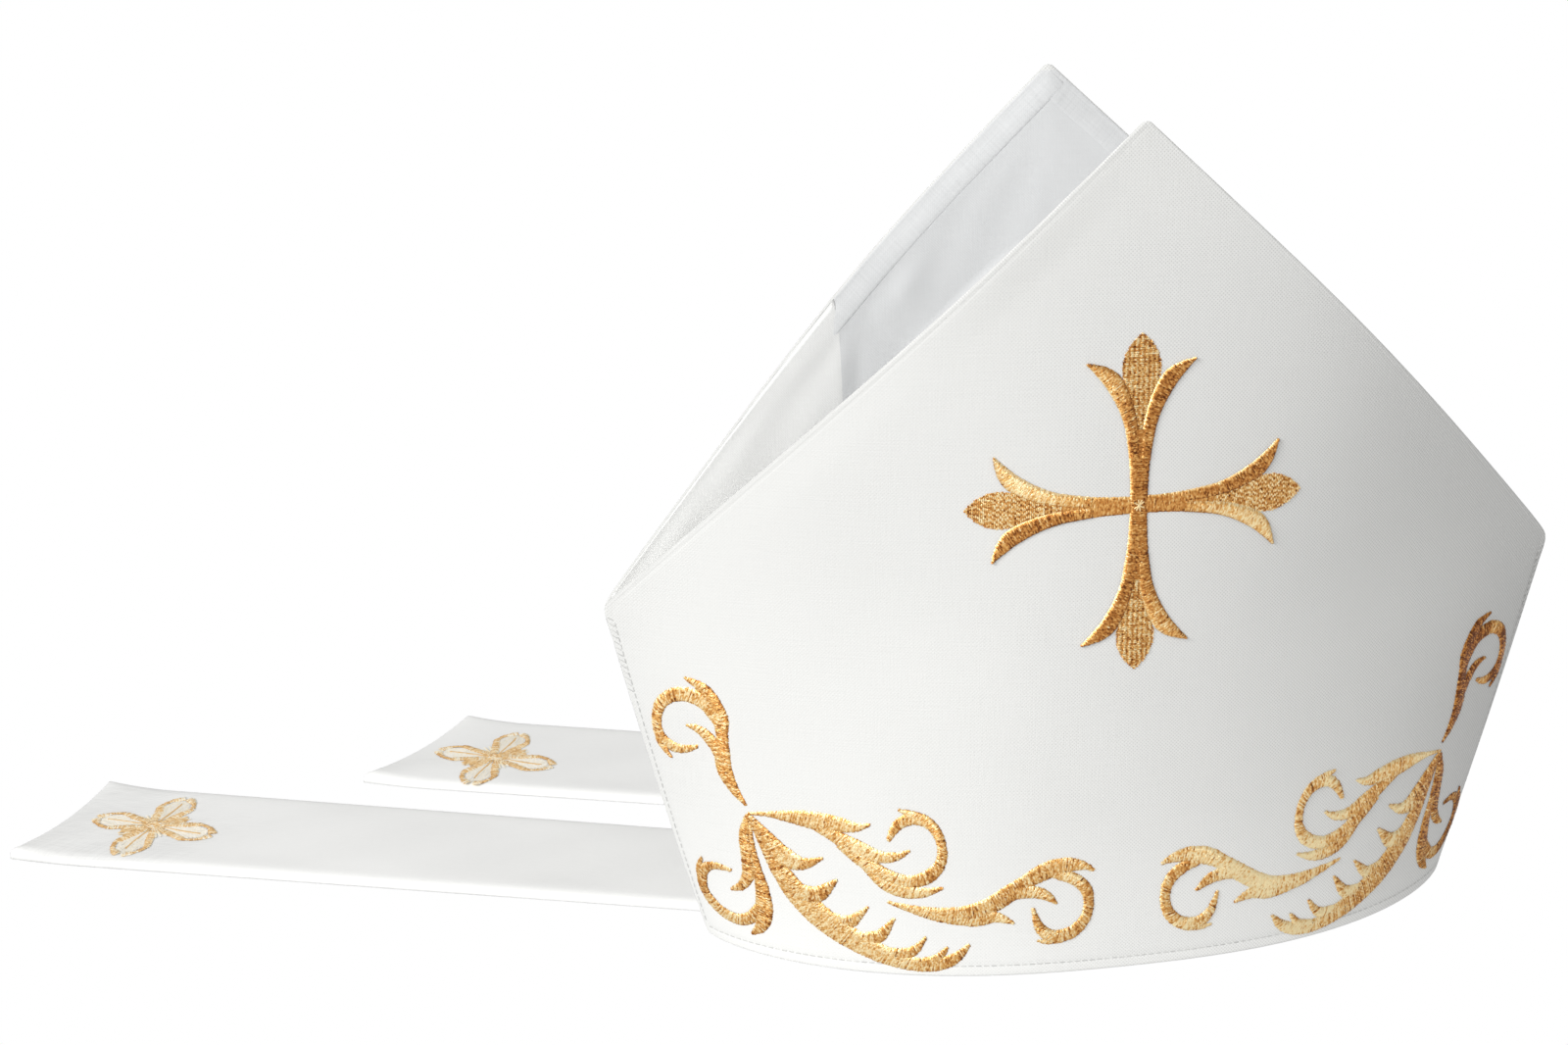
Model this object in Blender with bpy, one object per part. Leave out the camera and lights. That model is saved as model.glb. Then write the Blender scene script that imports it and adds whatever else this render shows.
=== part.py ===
"""A bishop's mitre: two stiffened cloth panels open round a head, a soft gusset between their peaks,
gold embroidery on the front, and two lappets that leave the back rim and lie on the floor.

Lengths are in millimetres and become metres where a mesh is made. +Z is up, the front faces -Y, and
the origin is the middle of the head opening, level with the lower rim.
"""

import functools
import math

import bmesh
import bpy
import numpy as np
from mathutils import Vector
from mathutils.geometry import delaunay_2d_cdt

MM = 0.001

# The two panels, as their outer faces
CORNER_HEIGHT = 120.9
PEAK_HEIGHT = 278.7
HALF_WIDTH = {"rim": 130.8, "middle": 147.5, "corner": 162.2}
HALF_DEPTH = {"rim": 51.3, "corner": 49.9}
PEAK_DEPTH = {"front": 45.6, "back": 62.9}
SWELL = {"rim": 2.44, "corner": 1.81, "peak": 3.14}
TAPER = {"rim": 0.714, "corner": 1.0, "peak": 1.99}
WALL = 2.0
GAP = 0.3
SEAM_GAP = 0.15
FACING = {"front": -1, "back": 1}
COLUMNS = 22
LOWER_ROWS = 6
UPPER_ROWS = 10

# The gusset, sewn below the folded edge of each panel
GUSSET_CLOTH = 1.2
FOLDED_EDGE = 11.0
GUSSET_REACH = 0.90
GUSSET_NARROWING = 0.45
GUSSET_STEPS = 4
VALLEY_RISE = 8.0
GUSSET_SLACK = 10.0

# The lappets, in a frame of their own: "along" runs to the free ends, "across" away from the viewer
LAPPET_HEADING = math.radians(159.4)
LAPPET_CLOTH = 3.0
LAPPET_WAVE = 4.0
END_CURL = 3.0
END_CURL_LENGTH = 28.0
LAPPETS = {
    # middle line across, half widths at the root and at the end, near and far corners of the end
    "left": {"middle": -3.7, "root": 28.4, "end": 31.3, "near_end": 382.0, "far_end": 371.5},
    "right": {"middle": 77.5, "root": 30.0, "end": 31.0, "near_end": 277.0, "far_end": 254.0},
}
RIGHT_ROOT = (-8.0, 86.0)
RIGHT_TURN = 48.0
TURN_FAN = 1.4
TURN_REACH = 0.5
END_CROWDING = 1.4
FLARE_START = 100.0

# The embroidery, raised off the cloth that carries it
THREAD = 0.8
THREAD_GAP = 0.4
BEND_STEP = 9.0
STROKE_STEP = 4.6

# Gold corner scrolls, as tapering strokes. A row is a knot of a stroke: its distance from the
# centre line, its height above the rim, and the width of the stroke there.
CURL = {
    "stem": [(125.1, 56.3, 1.0), (128.2, 60.2, 3.0), (131.6, 67, 5.2), (132.4, 74, 5.4), (132.2, 81, 4.2),
             (133.4, 87, 6.6), (138.5, 91.6, 5.4), (146, 93.0, 5.0), (152.4, 89.6, 4.2), (155.2, 83, 3.6),
             (154.6, 77, 4.0), (150.8, 73.6, 3.8), (145.6, 73.2, 2.8), (140.8, 75.0, 1.2)],
    "top leaf": [(131.4, 82, 3.0), (133.3, 89, 4.8), (137.3, 95.2, 4.4), (140.6, 97.5, 2.6), (144.3, 98.9, 0.8)],
    "side leaf": [(132.0, 70, 4.0), (134.6, 75.6, 4.0), (137.7, 79.6, 3.8), (141, 81.6, 2.6), (144.6, 82.1, 0.8)],
    "spur": [(155.2, 79, 3.0), (154.4, 73.6, 2.8), (150.8, 69.2, 1.0)],
}
SPRAY = {
    "top leaf": [(124.5, 53.2, 0.8), (117, 54.0, 2.0), (109, 54.1, 4.8), (101, 53.4, 6.4), (93, 52.6, 5.2),
                 (88, 52.3, 3.0), (83.7, 53.6, 0.8)],
    "second leaf": [(103, 52.6, 3.4), (95, 48.6, 4.6), (88, 44.8, 6.2), (81, 42.4, 4.4), (75, 42.9, 2.8),
                    (70.9, 45.2, 0.8)],
    "long curl": [(93, 46.0, 4.0), (86, 40.8, 5.2), (79, 36.2, 4.6), (71, 34.2, 4.4), (64.4, 36.6, 4.6),
                  (60.8, 42.0, 3.4), (61.2, 49.0, 3.0), (64.8, 54.7, 3.8), (70.2, 56.4, 4.4), (75, 53.8, 3.4),
                  (78.1, 48.2, 1.4)],
    "curl tip": [(67.0, 56.4, 3.6), (71, 58.0, 2.6), (74.6, 59.3, 0.8)],
    "lower leaf": [(86, 40.0, 3.0), (80, 34.2, 4.8), (74, 31.0, 5.0), (67, 30.3, 3.6), (60.2, 32.2, 0.8)],
    "spine": [(124.2, 52.6, 1.8), (120.4, 44, 5.0), (115.4, 34.5, 7.6), (108, 25.4, 8.6), (99, 17.8, 8.6),
              (89.5, 12.0, 7.8), (80, 7.6, 6.6), (70, 4.6, 5.0), (61.5, 4.6, 4.4), (55.6, 7.4, 3.6),
              (51.7, 11.8, 1.0)],
    "first lobe": [(123.6, 52.0, 2.0), (118.6, 46.0, 5.0), (112.8, 39.5, 7.4), (106.2, 37.5, 4.4), (99.3, 40.4, 0.8)],
    "second lobe": [(113, 32.0, 5.0), (107, 27.0, 6.6), (101, 27.2, 5.6), (94.6, 33.2, 0.9)],
    "third lobe": [(103, 20.4, 4.0), (96, 18.4, 5.0), (90.4, 18.4, 4.4), (84.6, 24.1, 0.9)],
    "fourth lobe": [(93, 13.4, 4.0), (86, 12.6, 5.0), (80.6, 14.2, 4.2), (76.0, 20.6, 0.9)],
    "fifth lobe": [(82, 8.4, 4.0), (75, 7.8, 4.4), (69.8, 9.2, 3.4), (65.7, 14.4, 0.9)],
    "sixth lobe": [(68, 4.8, 3.6), (62.2, 6.6, 3.2), (58.6, 11.0, 0.9)],
    "inner leaf": [(124.6, 52.4, 1.8), (126.8, 45, 4.0), (126.2, 37, 4.6), (126.0, 30.4, 4.4), (128.2, 25.8, 3.4),
                   (132.2, 23.3, 1.1)],
    "down leaf": [(123.6, 50.0, 1.6), (122.8, 42, 3.2), (121.6, 34, 4.0), (120.2, 26, 5.4), (120.2, 18, 6.4),
                  (121.6, 12, 4.8), (125.4, 7.6, 1.0)],
    "small curl": [(121.6, 18.6, 4.0), (126.2, 13.4, 4.4), (132, 12.0, 4.2), (138.6, 14.4, 4.2), (143.4, 19.8, 4.0),
                   (143.6, 26.4, 4.4), (139.9, 30.3, 3.2), (135.6, 31.1, 2.2), (131.4, 30.6, 1.2)],
    "small spur": [(144.4, 22, 3.0), (144.4, 28, 2.8), (142.9, 32.8, 0.9)],
}
SCROLL = {
    "stem": [(78.0, 26.5, 0.9), (70, 24.4, 2.8), (61, 22.6, 5.2), (52.6, 22.8, 6.2), (45.4, 25.6, 6.0),
             (39, 29.8, 6.0), (33, 34.2, 5.2), (26.6, 37.7, 6.2), (20, 39.0, 5.4), (14.8, 38.4, 3.0),
             (11.2, 36.6, 0.9)],
    "lower leaf": [(58, 21.6, 4.4), (50, 20.7, 4.6), (43.6, 21.6, 4.0), (37.2, 19.2, 0.8)],
    "side leaf": [(43, 27.0, 4.4), (37, 30.0, 4.6), (31.6, 30.2, 4.4), (27, 28.6, 3.4), (23.4, 25.6, 0.8)],
    "end curl": [(24, 36.2, 3.0), (18.4, 34.4, 4.2), (14.2, 30.6, 4.0), (12.8, 25.0, 3.4), (14.2, 19.0, 3.8),
                 (18.4, 14.8, 4.4), (24.0, 13.8, 4.6), (28.6, 17.0, 3.4), (31.2, 24.3, 1.0)],
    "curl tip": [(21, 12.8, 3.0), (25.6, 12.1, 2.2), (29.3, 12.4, 0.8)],
}

# One side of one arm of the main cross: distance out from the centre, distance from the arm's middle
CROSS_HEIGHT = 159.9
CROSS_ARM = [(10, 3.0), (20, 4.1), (27, 5.7), (32, 7.7), (36, 9.9), (40, 12.6), (45, 17.2),
             (44.8, 13.2), (43.4, 9.9), (41.4, 6.6), (46, 5.9), (50.2, 4.2), (54, 0)]
# The same for a lappet's cross, whose arms flare and end in a point
LAPPET_CROSS_ARM = [(5.0, 2.6), (11.0, 4.4), (16.4, 7.0), (20.0, 5.0), (24.3, 0)]
# Its centre, along the lappet and across from the lappet's middle line, and its turn
CROSS_CENTRE = {"left": (339.9, -1.9), "right": (232.4, -5.9)}
CROSS_TURN = math.radians(7)
CROTCH = 0.86

CLOTH_WHITE = (0.86, 0.86, 0.84, 1.0)
LINING_WHITE = (0.80, 0.82, 0.86, 1.0)
GOLD = (0.62, 0.38, 0.12, 1.0)


def remove_all_objects():
    for thing in list(bpy.data.objects):
        bpy.data.objects.remove(thing, do_unlink=True)


def material(name, colour, roughness, metallic=0.0):
    made = bpy.data.materials.new(name)
    made.use_nodes = True
    shader = made.node_tree.nodes["Principled BSDF"]
    shader.inputs["Base Color"].default_value = colour
    shader.inputs["Roughness"].default_value = roughness
    shader.inputs["Metallic"].default_value = metallic
    return made


def finish_object(name, mesh_edit, look):
    """Turns a bmesh in millimetres into a named object in metres, its faces pointing out."""
    bmesh.ops.recalc_face_normals(mesh_edit, faces=mesh_edit.faces)
    bmesh.ops.scale(mesh_edit, vec=(MM, MM, MM), verts=mesh_edit.verts)
    mesh = bpy.data.meshes.new(name)
    mesh_edit.to_mesh(mesh)
    mesh_edit.free()
    mesh.materials.append(look)
    mesh.shade_smooth()
    mesh.set_sharp_from_angle(angle=math.radians(40))
    made = bpy.data.objects.new(name, mesh)
    bpy.context.scene.collection.objects.link(made)
    return made


# ---------------------------------------------------------------- the panels' shape


def quadratic(first, middle, last, middle_height, last_height, height):
    """The parabola through (0, first), (middle_height, middle) and (last_height, last)."""
    a = (height - middle_height) * (height - last_height) / (middle_height * last_height)
    b = height * (height - last_height) / (middle_height * (middle_height - last_height))
    c = height * (height - middle_height) / (last_height * (last_height - middle_height))
    return first * a + middle * b + last * c


def half_width(height):
    """Half the width between the side seams, or between their straight continuation above them."""
    rim, middle, corner = HALF_WIDTH["rim"], HALF_WIDTH["middle"], HALF_WIDTH["corner"]
    lean = (rim - 4 * middle + 3 * corner) / CORNER_HEIGHT
    below = min(height, CORNER_HEIGHT)
    seam = quadratic(rim, middle, corner, CORNER_HEIGHT / 2, CORNER_HEIGHT, below)
    return seam + max(height - CORNER_HEIGHT, 0) * lean


def half_depth(side, height):
    return quadratic(
        HALF_DEPTH["rim"], HALF_DEPTH["corner"], PEAK_DEPTH[side], CORNER_HEIGHT, PEAK_HEIGHT, height
    )


def blend(values, height):
    """A value that goes from the rim's to the corner's to the peak's."""
    if height < CORNER_HEIGHT:
        share = height / CORNER_HEIGHT
        return values["rim"] + (values["corner"] - values["rim"]) * share
    share = (height - CORNER_HEIGHT) / (PEAK_HEIGHT - CORNER_HEIGHT)
    return values["corner"] + (values["peak"] - values["corner"]) * share


def section(side, share, height):
    """(x, y) of the outer face at a share of the half width, from -1 to 1."""
    swell, taper = blend(SWELL, height), blend(TAPER, height)
    bulge = max(1 - abs(share) ** swell, 0) ** taper
    return half_width(height) * share, FACING[side] * half_depth(side, height) * bulge


def inset_section(side, share, height, depth):
    """The same point moved level towards the inside by a depth, or outwards where depth is negative."""
    step = 0.002
    low, high = max(share - step, -1.0), min(share + step, 1.0)
    x0, y0 = section(side, low, height)
    x1, y1 = section(side, high, height)
    along = math.hypot(x1 - x0, y1 - y0)
    x, y = section(side, share, height)
    out = (FACING[side] * -(y1 - y0) / along, FACING[side] * (x1 - x0) / along)
    return x - out[0] * depth, y - out[1] * depth


@functools.lru_cache(maxsize=None)
def arc_table(side, height):
    """Shares of the half width, and how far round the cloth each lies from the centre line."""
    shares = np.sin(np.linspace(0, math.pi / 2, 240))
    points = np.array([section(side, share, height) for share in shares])
    steps = np.hypot(*np.diff(points, axis=0).T)
    return shares, np.concatenate([[0], np.cumsum(steps)])


def share_at(side, around, height):
    """The share of the half width that lies a distance round the cloth from the centre line."""
    shares, arcs = arc_table(side, round(height, 3))
    return math.copysign(float(np.interp(abs(around), arcs, shares)), around)


def edge_share(side, height):
    """Where the outline ends: at the side seam, or above the corners at the straight cut to the peak."""
    if height <= CORNER_HEIGHT:
        return 1.0
    corner_arc = arc_table(side, CORNER_HEIGHT)[1][-1]
    left = (PEAK_HEIGHT - height) / (PEAK_HEIGHT - CORNER_HEIGHT)
    return share_at(side, corner_arc * left, height)


def seam_share(side, height, depth):
    """The largest share at which the face a depth inside still stays clear of the other panel."""
    low, high = 0.3, 1.0
    for _ in range(40):
        middle = (low + high) / 2
        if FACING[side] * inset_section(side, middle, height, depth)[1] > SEAM_GAP:
            low = middle
        else:
            high = middle
    return low


def panel(side, look):
    """One wall with its cut-to-a-peak outline, as an outer and an inner face joined round the edge."""
    heights = [CORNER_HEIGHT * i / LOWER_ROWS for i in range(LOWER_ROWS)]
    rise = PEAK_HEIGHT - CORNER_HEIGHT
    heights += [CORNER_HEIGHT + rise * i / UPPER_ROWS for i in range(UPPER_ROWS)]
    turns = [math.sin(math.pi * (i / COLUMNS - 0.5)) for i in range(COLUMNS + 1)]
    edit = bmesh.new()
    outer, inner = [], []
    for height in heights:
        limit = edge_share(side, height)
        inner_limit = min(limit, seam_share(side, height, WALL))
        outer.append([])
        inner.append([])
        for turn in turns:
            x, y = section(side, limit * turn, height)
            y = FACING[side] * max(abs(y), SEAM_GAP)
            outer[-1].append(edit.verts.new((x, y, height)))
            x, y = inset_section(side, inner_limit * turn, height, WALL)
            inner[-1].append(edit.verts.new((x, y, height)))
    tips = [
        edit.verts.new((0, inset_section(side, 0, PEAK_HEIGHT, depth)[1], PEAK_HEIGHT)) for depth in (0, WALL)
    ]
    for face, tip in ((outer, tips[0]), (inner, tips[1])):
        for low, high in zip(face, face[1:]):
            for i in range(COLUMNS):
                edit.faces.new((low[i], low[i + 1], high[i + 1], high[i]))
        for i in range(COLUMNS):
            edit.faces.new((face[-1][i], face[-1][i + 1], tip))
    for i in range(COLUMNS):
        edit.faces.new((outer[0][i], inner[0][i], inner[0][i + 1], outer[0][i + 1]))
    for end in (0, COLUMNS):
        for row in range(len(heights) - 1):
            edit.faces.new((outer[row][end], outer[row + 1][end], inner[row + 1][end], inner[row][end]))
        edit.faces.new((outer[-1][end], tips[0], tips[1], inner[-1][end]))
    return finish_object(side + "_panel", edit, look)


def gusset(look):
    """The soft valley: from each panel's folded edge the cloth falls to a crease between the corners."""
    rise = PEAK_HEIGHT - CORNER_HEIGHT
    corner_arc = arc_table("front", CORNER_HEIGHT)[1][-1]
    drop = FOLDED_EDGE * math.hypot(rise, corner_arc) / corner_arc
    depth = WALL + GAP + GUSSET_CLOTH / 2
    sheet = []
    for i in range(COLUMNS + 1):
        k = GUSSET_REACH * (2 * i / COLUMNS - 1)
        height = CORNER_HEIGHT + (1 - abs(k)) * rise - drop * min(1, (1 - abs(k)) / GUSSET_NARROWING)
        valley = Vector((half_width(CORNER_HEIGHT) * k, 0, CORNER_HEIGHT + VALLEY_RISE * (1 - k * k)))
        row = []
        for side in ("front", "back"):
            share = min(share_at(side, corner_arc * abs(k), height), seam_share(side, height, depth))
            x, y = inset_section(side, math.copysign(share, k), height, depth)
            top = Vector((x, y, height))
            fall = []
            for j in range(GUSSET_STEPS + 1):
                share_down = j / GUSSET_STEPS
                point = top.lerp(valley, share_down)
                point.z -= GUSSET_SLACK * math.sin(math.pi * share_down) * (1 - abs(k))
                fall.append(point)
            row.append(fall)
        sheet.append(row[0] + row[1][-2::-1])
    edit = bmesh.new()
    across = 2 * GUSSET_STEPS
    faces = {-1: [], 1: []}
    for i in range(COLUMNS + 1):
        for way in faces:
            faces[way].append([])
        for j in range(across + 1):
            along = sheet[min(i + 1, COLUMNS)][j] - sheet[max(i - 1, 0)][j]
            over = sheet[i][min(j + 1, across)] - sheet[i][max(j - 1, 0)]
            up = along.cross(over).normalized()
            for way in faces:
                faces[way][-1].append(edit.verts.new(sheet[i][j] + up * way * GUSSET_CLOTH / 2))
    for grid in faces.values():
        for left, right in zip(grid, grid[1:]):
            for j in range(across):
                edit.faces.new((left[j], left[j + 1], right[j + 1], right[j]))
    low, high = faces[-1], faces[1]
    for i in range(COLUMNS):
        for j in (0, across):
            edit.faces.new((low[i][j], low[i + 1][j], high[i + 1][j], high[i][j]))
    for i in (0, COLUMNS):
        for j in range(across):
            edit.faces.new((low[i][j], low[i][j + 1], high[i][j + 1], high[i][j]))
    return finish_object("crown_gusset", edit, look)


# ---------------------------------------------------------------- the lappets


def on_floor(along, across):
    """(x, y) of a point in the lappets' own frame."""
    ahead = (math.cos(LAPPET_HEADING), math.sin(LAPPET_HEADING))
    return Vector((ahead[0] * along + ahead[1] * across, ahead[1] * along - ahead[0] * across))


def rim_point(x):
    """A point just outside the back rim, at the height of a lappet's upper face."""
    share = x / half_width(LAPPET_CLOTH)
    return Vector(inset_section("back", share, LAPPET_CLOTH, -GAP - SEAM_GAP))


def outside_rim(point):
    wide = half_width(LAPPET_CLOTH) + GAP + SEAM_GAP
    deep = half_depth("back", LAPPET_CLOTH) + GAP + SEAM_GAP
    bulge = max(1 - abs(point.x / wide) ** SWELL["rim"], 0) ** TAPER["rim"]
    return abs(point.x) > wide or point.y > deep * bulge


def lappet_across(name, along, share):
    """Distance across at a share of the width, from 0 at the near edge to 1 at the far one."""
    made = LAPPETS[name]
    flare = min(max((along - FLARE_START) / (made["near_end"] - FLARE_START), 0), 1)
    return made["middle"] + (2 * share - 1) * (made["root"] + (made["end"] - made["root"]) * flare)


def lappet_lift(name, along, share):
    """How far the cloth stands off the floor where the corners of its free end curl."""
    made = LAPPETS[name]
    end = made["near_end"] + (made["far_end"] - made["near_end"]) * share
    curl = min(max(1 - (end - along) / END_CURL_LENGTH, 0), 1)
    return END_CURL * curl * curl * (2 * share - 1) ** 2


def left_root(share):
    """How far along the left lappet begins, where it meets the back rim."""
    low, high = 0.0, 200.0
    for _ in range(40):
        middle = (low + high) / 2
        if outside_rim(on_floor(middle, lappet_across("left", middle, share))):
            high = middle
        else:
            low = middle
    return high


def lappet_row(name, share, steps):
    """The points of one line along a lappet, from the rim to the free end, and their heights."""
    made = LAPPETS[name]
    end = made["near_end"] + (made["far_end"] - made["near_end"]) * share
    points = []
    if name == "left":
        start = left_root(share)
    else:
        start = RIGHT_TURN
        root = rim_point(RIGHT_ROOT[0] + (RIGHT_ROOT[1] - RIGHT_ROOT[0]) * share)
        goal = on_floor(start, lappet_across(name, start, share))
        ahead = on_floor(1, 0)
        leave = ahead.lerp(root.normalized(), min(1, TURN_FAN * share)).normalized()
        reach = (goal - root).length * (1 + TURN_REACH * share)
        for i in range(steps):
            t = i / steps
            # The cubic curve from the root to the goal that leaves and arrives along the two directions
            place = (
                root * (1 + 2 * t) * (1 - t) ** 2
                + leave * reach * t * (1 - t) ** 2
                + goal * t * t * (3 - 2 * t)
                - ahead * reach * t * t * (1 - t)
            )
            wave = LAPPET_WAVE * math.sin(math.pi * 2 * t) ** 2 * math.sin(math.pi * share) ** 2
            points.append((place, wave))
    for i in range(steps + 1):
        t = 1 - (1 - i / steps) ** END_CROWDING
        along = start + (end - start) * t
        points.append((on_floor(along, lappet_across(name, along, share)), lappet_lift(name, along, share)))
    return points


def lappet(name, look):
    steps, across = (14, 6) if name == "left" else (10, 6)
    edit = bmesh.new()
    floor_side, top_side = [], []
    for i in range(across + 1):
        row = lappet_row(name, i / across, steps)
        floor_side.append([edit.verts.new((p.x, p.y, lift)) for p, lift in row])
        top_side.append([edit.verts.new((p.x, p.y, lift + LAPPET_CLOTH)) for p, lift in row])
    last = len(floor_side[0]) - 1
    for grid in (floor_side, top_side):
        for near, far in zip(grid, grid[1:]):
            for j in range(last):
                edit.faces.new((near[j], near[j + 1], far[j + 1], far[j]))
    for i in (0, across):
        for j in range(last):
            edit.faces.new((floor_side[i][j], floor_side[i][j + 1], top_side[i][j + 1], top_side[i][j]))
    for j in (0, last):
        for i in range(across):
            edit.faces.new((floor_side[i][j], floor_side[i + 1][j], top_side[i + 1][j], top_side[i][j]))
    return finish_object("lappet_" + name, edit, look)


# ---------------------------------------------------------------- the embroidery


def smooth_knots(knots, step):
    """Points about a step apart on the Catmull-Rom curve through rows of numbers."""
    rows = [np.array(knot, float) for knot in knots]
    rows = [2 * rows[0] - rows[1]] + rows + [2 * rows[-1] - rows[-2]]
    points = []
    for a, b, c, d in zip(rows, rows[1:], rows[2:], rows[3:]):
        count = max(1, round(float(np.hypot(*(c - b)[:2])) / step))
        for t in np.arange(count) / count:
            points.append(
                b + 0.5 * t * (c - a + t * (2 * a - 5 * b + 4 * c - d + t * (3 * (b - c) + d - a)))
            )
    points.append(rows[-2])
    return np.array(points)


def stroke_outline(knots):
    """The closed outline of a tapering stroke, anticlockwise."""
    line = smooth_knots(knots, STROKE_STEP)
    along = np.gradient(line[:, :2], axis=0)
    along /= np.linalg.norm(along, axis=1)[:, None]
    side = np.stack([-along[:, 1], along[:, 0]], axis=1) * np.maximum(line[:, 2:], 0.5) / 2
    return np.concatenate([line[:, :2] - side, (line[:, :2] + side)[::-1]])


def arms_outline(half_arm):
    """A cross of four equal arms from the outline of one side of one of them, anticlockwise."""
    arm = [(x, -y) for x, y in half_arm] + [(x, y) for x, y in half_arm[-2::-1]]
    crotch = (half_arm[0][1] * CROTCH, half_arm[0][1] * CROTCH)
    points = []
    for quarter in range(4):
        c, s = math.cos(quarter * math.pi / 2), math.sin(quarter * math.pi / 2)
        points += [(x * c - y * s, x * s + y * c) for x, y in arm + [crotch]]
    return np.array(points)


def merge_flat(outlines):
    """One flat mesh that covers overlapping outlines, in the X-Y plane."""
    points, faces = [], []
    for outline in outlines:
        faces.append(list(range(len(points), len(points) + len(outline))))
        points += [Vector(p) for p in outline]
    verts, _, triangles, _, _, owners = delaunay_2d_cdt(points, [], faces, 0, 1e-4)
    edit = bmesh.new()
    made = [edit.verts.new((*v, 0)) for v in verts]
    for triangle, owner in zip(triangles, owners):
        if owner:
            edit.faces.new([made[i] for i in triangle])
    loose = [v for v in edit.verts if not v.link_faces]
    bmesh.ops.delete(edit, geom=loose, context="VERTS")
    bmesh.ops.dissolve_limit(edit, angle_limit=0.02, verts=edit.verts, edges=edit.edges)
    return edit


def embroider(name, outlines, place, look):
    """A thin raised solid: the outlines merged flat, cut into narrow strips, and laid on the cloth."""
    flat = merge_flat(outlines)
    low = min(v.co.x for v in flat.verts)
    high = max(v.co.x for v in flat.verts)
    for i in range(1, int((high - low) / BEND_STEP) + 1):
        everything = flat.verts[:] + flat.edges[:] + flat.faces[:]
        cut = Vector((low + i * BEND_STEP, 0, 0))
        bmesh.ops.bisect_plane(flat, geom=everything, dist=1e-3, plane_co=cut, plane_no=(1, 0, 0))
    bmesh.ops.triangulate(flat, faces=flat.faces)
    edit = bmesh.new()
    lower = {v: edit.verts.new(place(v.co.x, v.co.y, THREAD_GAP)) for v in flat.verts}
    upper = {v: edit.verts.new(place(v.co.x, v.co.y, THREAD_GAP + THREAD)) for v in flat.verts}
    for face in flat.faces:
        edit.faces.new([upper[v] for v in face.verts])
        edit.faces.new([lower[v] for v in reversed(face.verts)])
    for edge in flat.edges:
        if len(edge.link_faces) == 1:
            a, b = edge.verts
            edit.faces.new((lower[a], lower[b], upper[b], upper[a]))
    flat.free()
    return finish_object(name, edit, look)


def on_front(around, height, out):
    """A point off the front panel's outer face, from the distance round the cloth and the height."""
    x, y = inset_section("front", share_at("front", around, height), height, -out)
    return Vector((x, y, height))


def on_lappet(name):
    made = LAPPETS[name]
    centre = CROSS_CENTRE[name]
    c, s = math.cos(CROSS_TURN), math.sin(CROSS_TURN)

    def place(x, y, out):
        along, across = centre[0] + x * c - y * s, centre[1] + x * s + y * c
        share = 0.5 + across / (made["root"] + made["end"])
        spot = on_floor(along, made["middle"] + across)
        return Vector((spot.x, spot.y, LAPPET_CLOTH + lappet_lift(name, along, share) + out))

    return place


def build():
    remove_all_objects()
    cloth = material("white_cloth", CLOTH_WHITE, 0.6)
    lining = material("gusset_cloth", LINING_WHITE, 0.7)
    gold = material("gold_thread", GOLD, 0.35, 0.8)
    panel("front", cloth)
    panel("back", cloth)
    gusset(lining)
    for name in LAPPETS:
        lappet(name, cloth)
        embroider("lappet_cross_" + name, [arms_outline(LAPPET_CROSS_ARM)], on_lappet(name), gold)
    cross = arms_outline(CROSS_ARM)
    embroider("front_cross", [cross + np.array([0, CROSS_HEIGHT])], on_front, gold)
    for side, way in (("left", -1), ("right", 1)):
        for name, strokes in (("curl", CURL), ("spray", SPRAY), ("scroll", SCROLL)):
            outlines = [stroke_outline(knots) for knots in strokes.values()]
            if way < 0:
                outlines = [outline[::-1] * (-1, 1) for outline in outlines]
            embroider(name + "_" + side, outlines, on_front, gold)


build()
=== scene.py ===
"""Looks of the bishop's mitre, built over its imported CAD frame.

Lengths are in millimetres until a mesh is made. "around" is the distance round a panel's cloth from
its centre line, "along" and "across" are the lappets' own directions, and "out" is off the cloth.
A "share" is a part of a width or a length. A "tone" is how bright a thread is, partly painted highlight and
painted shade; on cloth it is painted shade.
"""

import math

import bmesh
import bpy
import numpy as np
from mathutils import Matrix, Vector


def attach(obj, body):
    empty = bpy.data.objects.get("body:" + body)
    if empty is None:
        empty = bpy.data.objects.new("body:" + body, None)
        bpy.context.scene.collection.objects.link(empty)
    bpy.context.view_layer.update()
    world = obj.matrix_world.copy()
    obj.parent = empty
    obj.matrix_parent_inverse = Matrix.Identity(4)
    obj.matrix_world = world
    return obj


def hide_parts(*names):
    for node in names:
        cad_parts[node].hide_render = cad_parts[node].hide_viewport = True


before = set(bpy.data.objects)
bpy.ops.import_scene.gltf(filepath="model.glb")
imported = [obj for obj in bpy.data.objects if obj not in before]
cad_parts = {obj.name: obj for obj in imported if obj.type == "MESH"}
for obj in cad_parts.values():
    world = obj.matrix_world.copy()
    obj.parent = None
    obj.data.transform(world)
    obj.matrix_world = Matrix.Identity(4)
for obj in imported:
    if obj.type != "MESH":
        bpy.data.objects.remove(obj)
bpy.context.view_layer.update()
MM = 0.001
RANDOM = np.random.default_rng(7)

# ---- the shape, as in the CAD model

CORNER_HEIGHT = 120.9
PEAK_HEIGHT = 278.7
RISE = PEAK_HEIGHT - CORNER_HEIGHT
# At the rim, halfway to the corners and at the corners
HALF_WIDTH = (130.8, 147.5, 162.2)
# At the rim and at the corners, and then at each peak
HALF_DEPTH = (51.3, 49.9)
PEAK_DEPTH = {"front": 45.6, "back": 62.9}
# Two powers that shape a panel's section, at the rim, the corners and the peak
SWELL = (2.44, 1.81, 3.14)
TAPER = (0.714, 1.0, 1.99)
# The section's change eases over this height, above and below the corners
BEND = 18.0
WALL = 2.0
SEAM_GAP = 0.15
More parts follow.
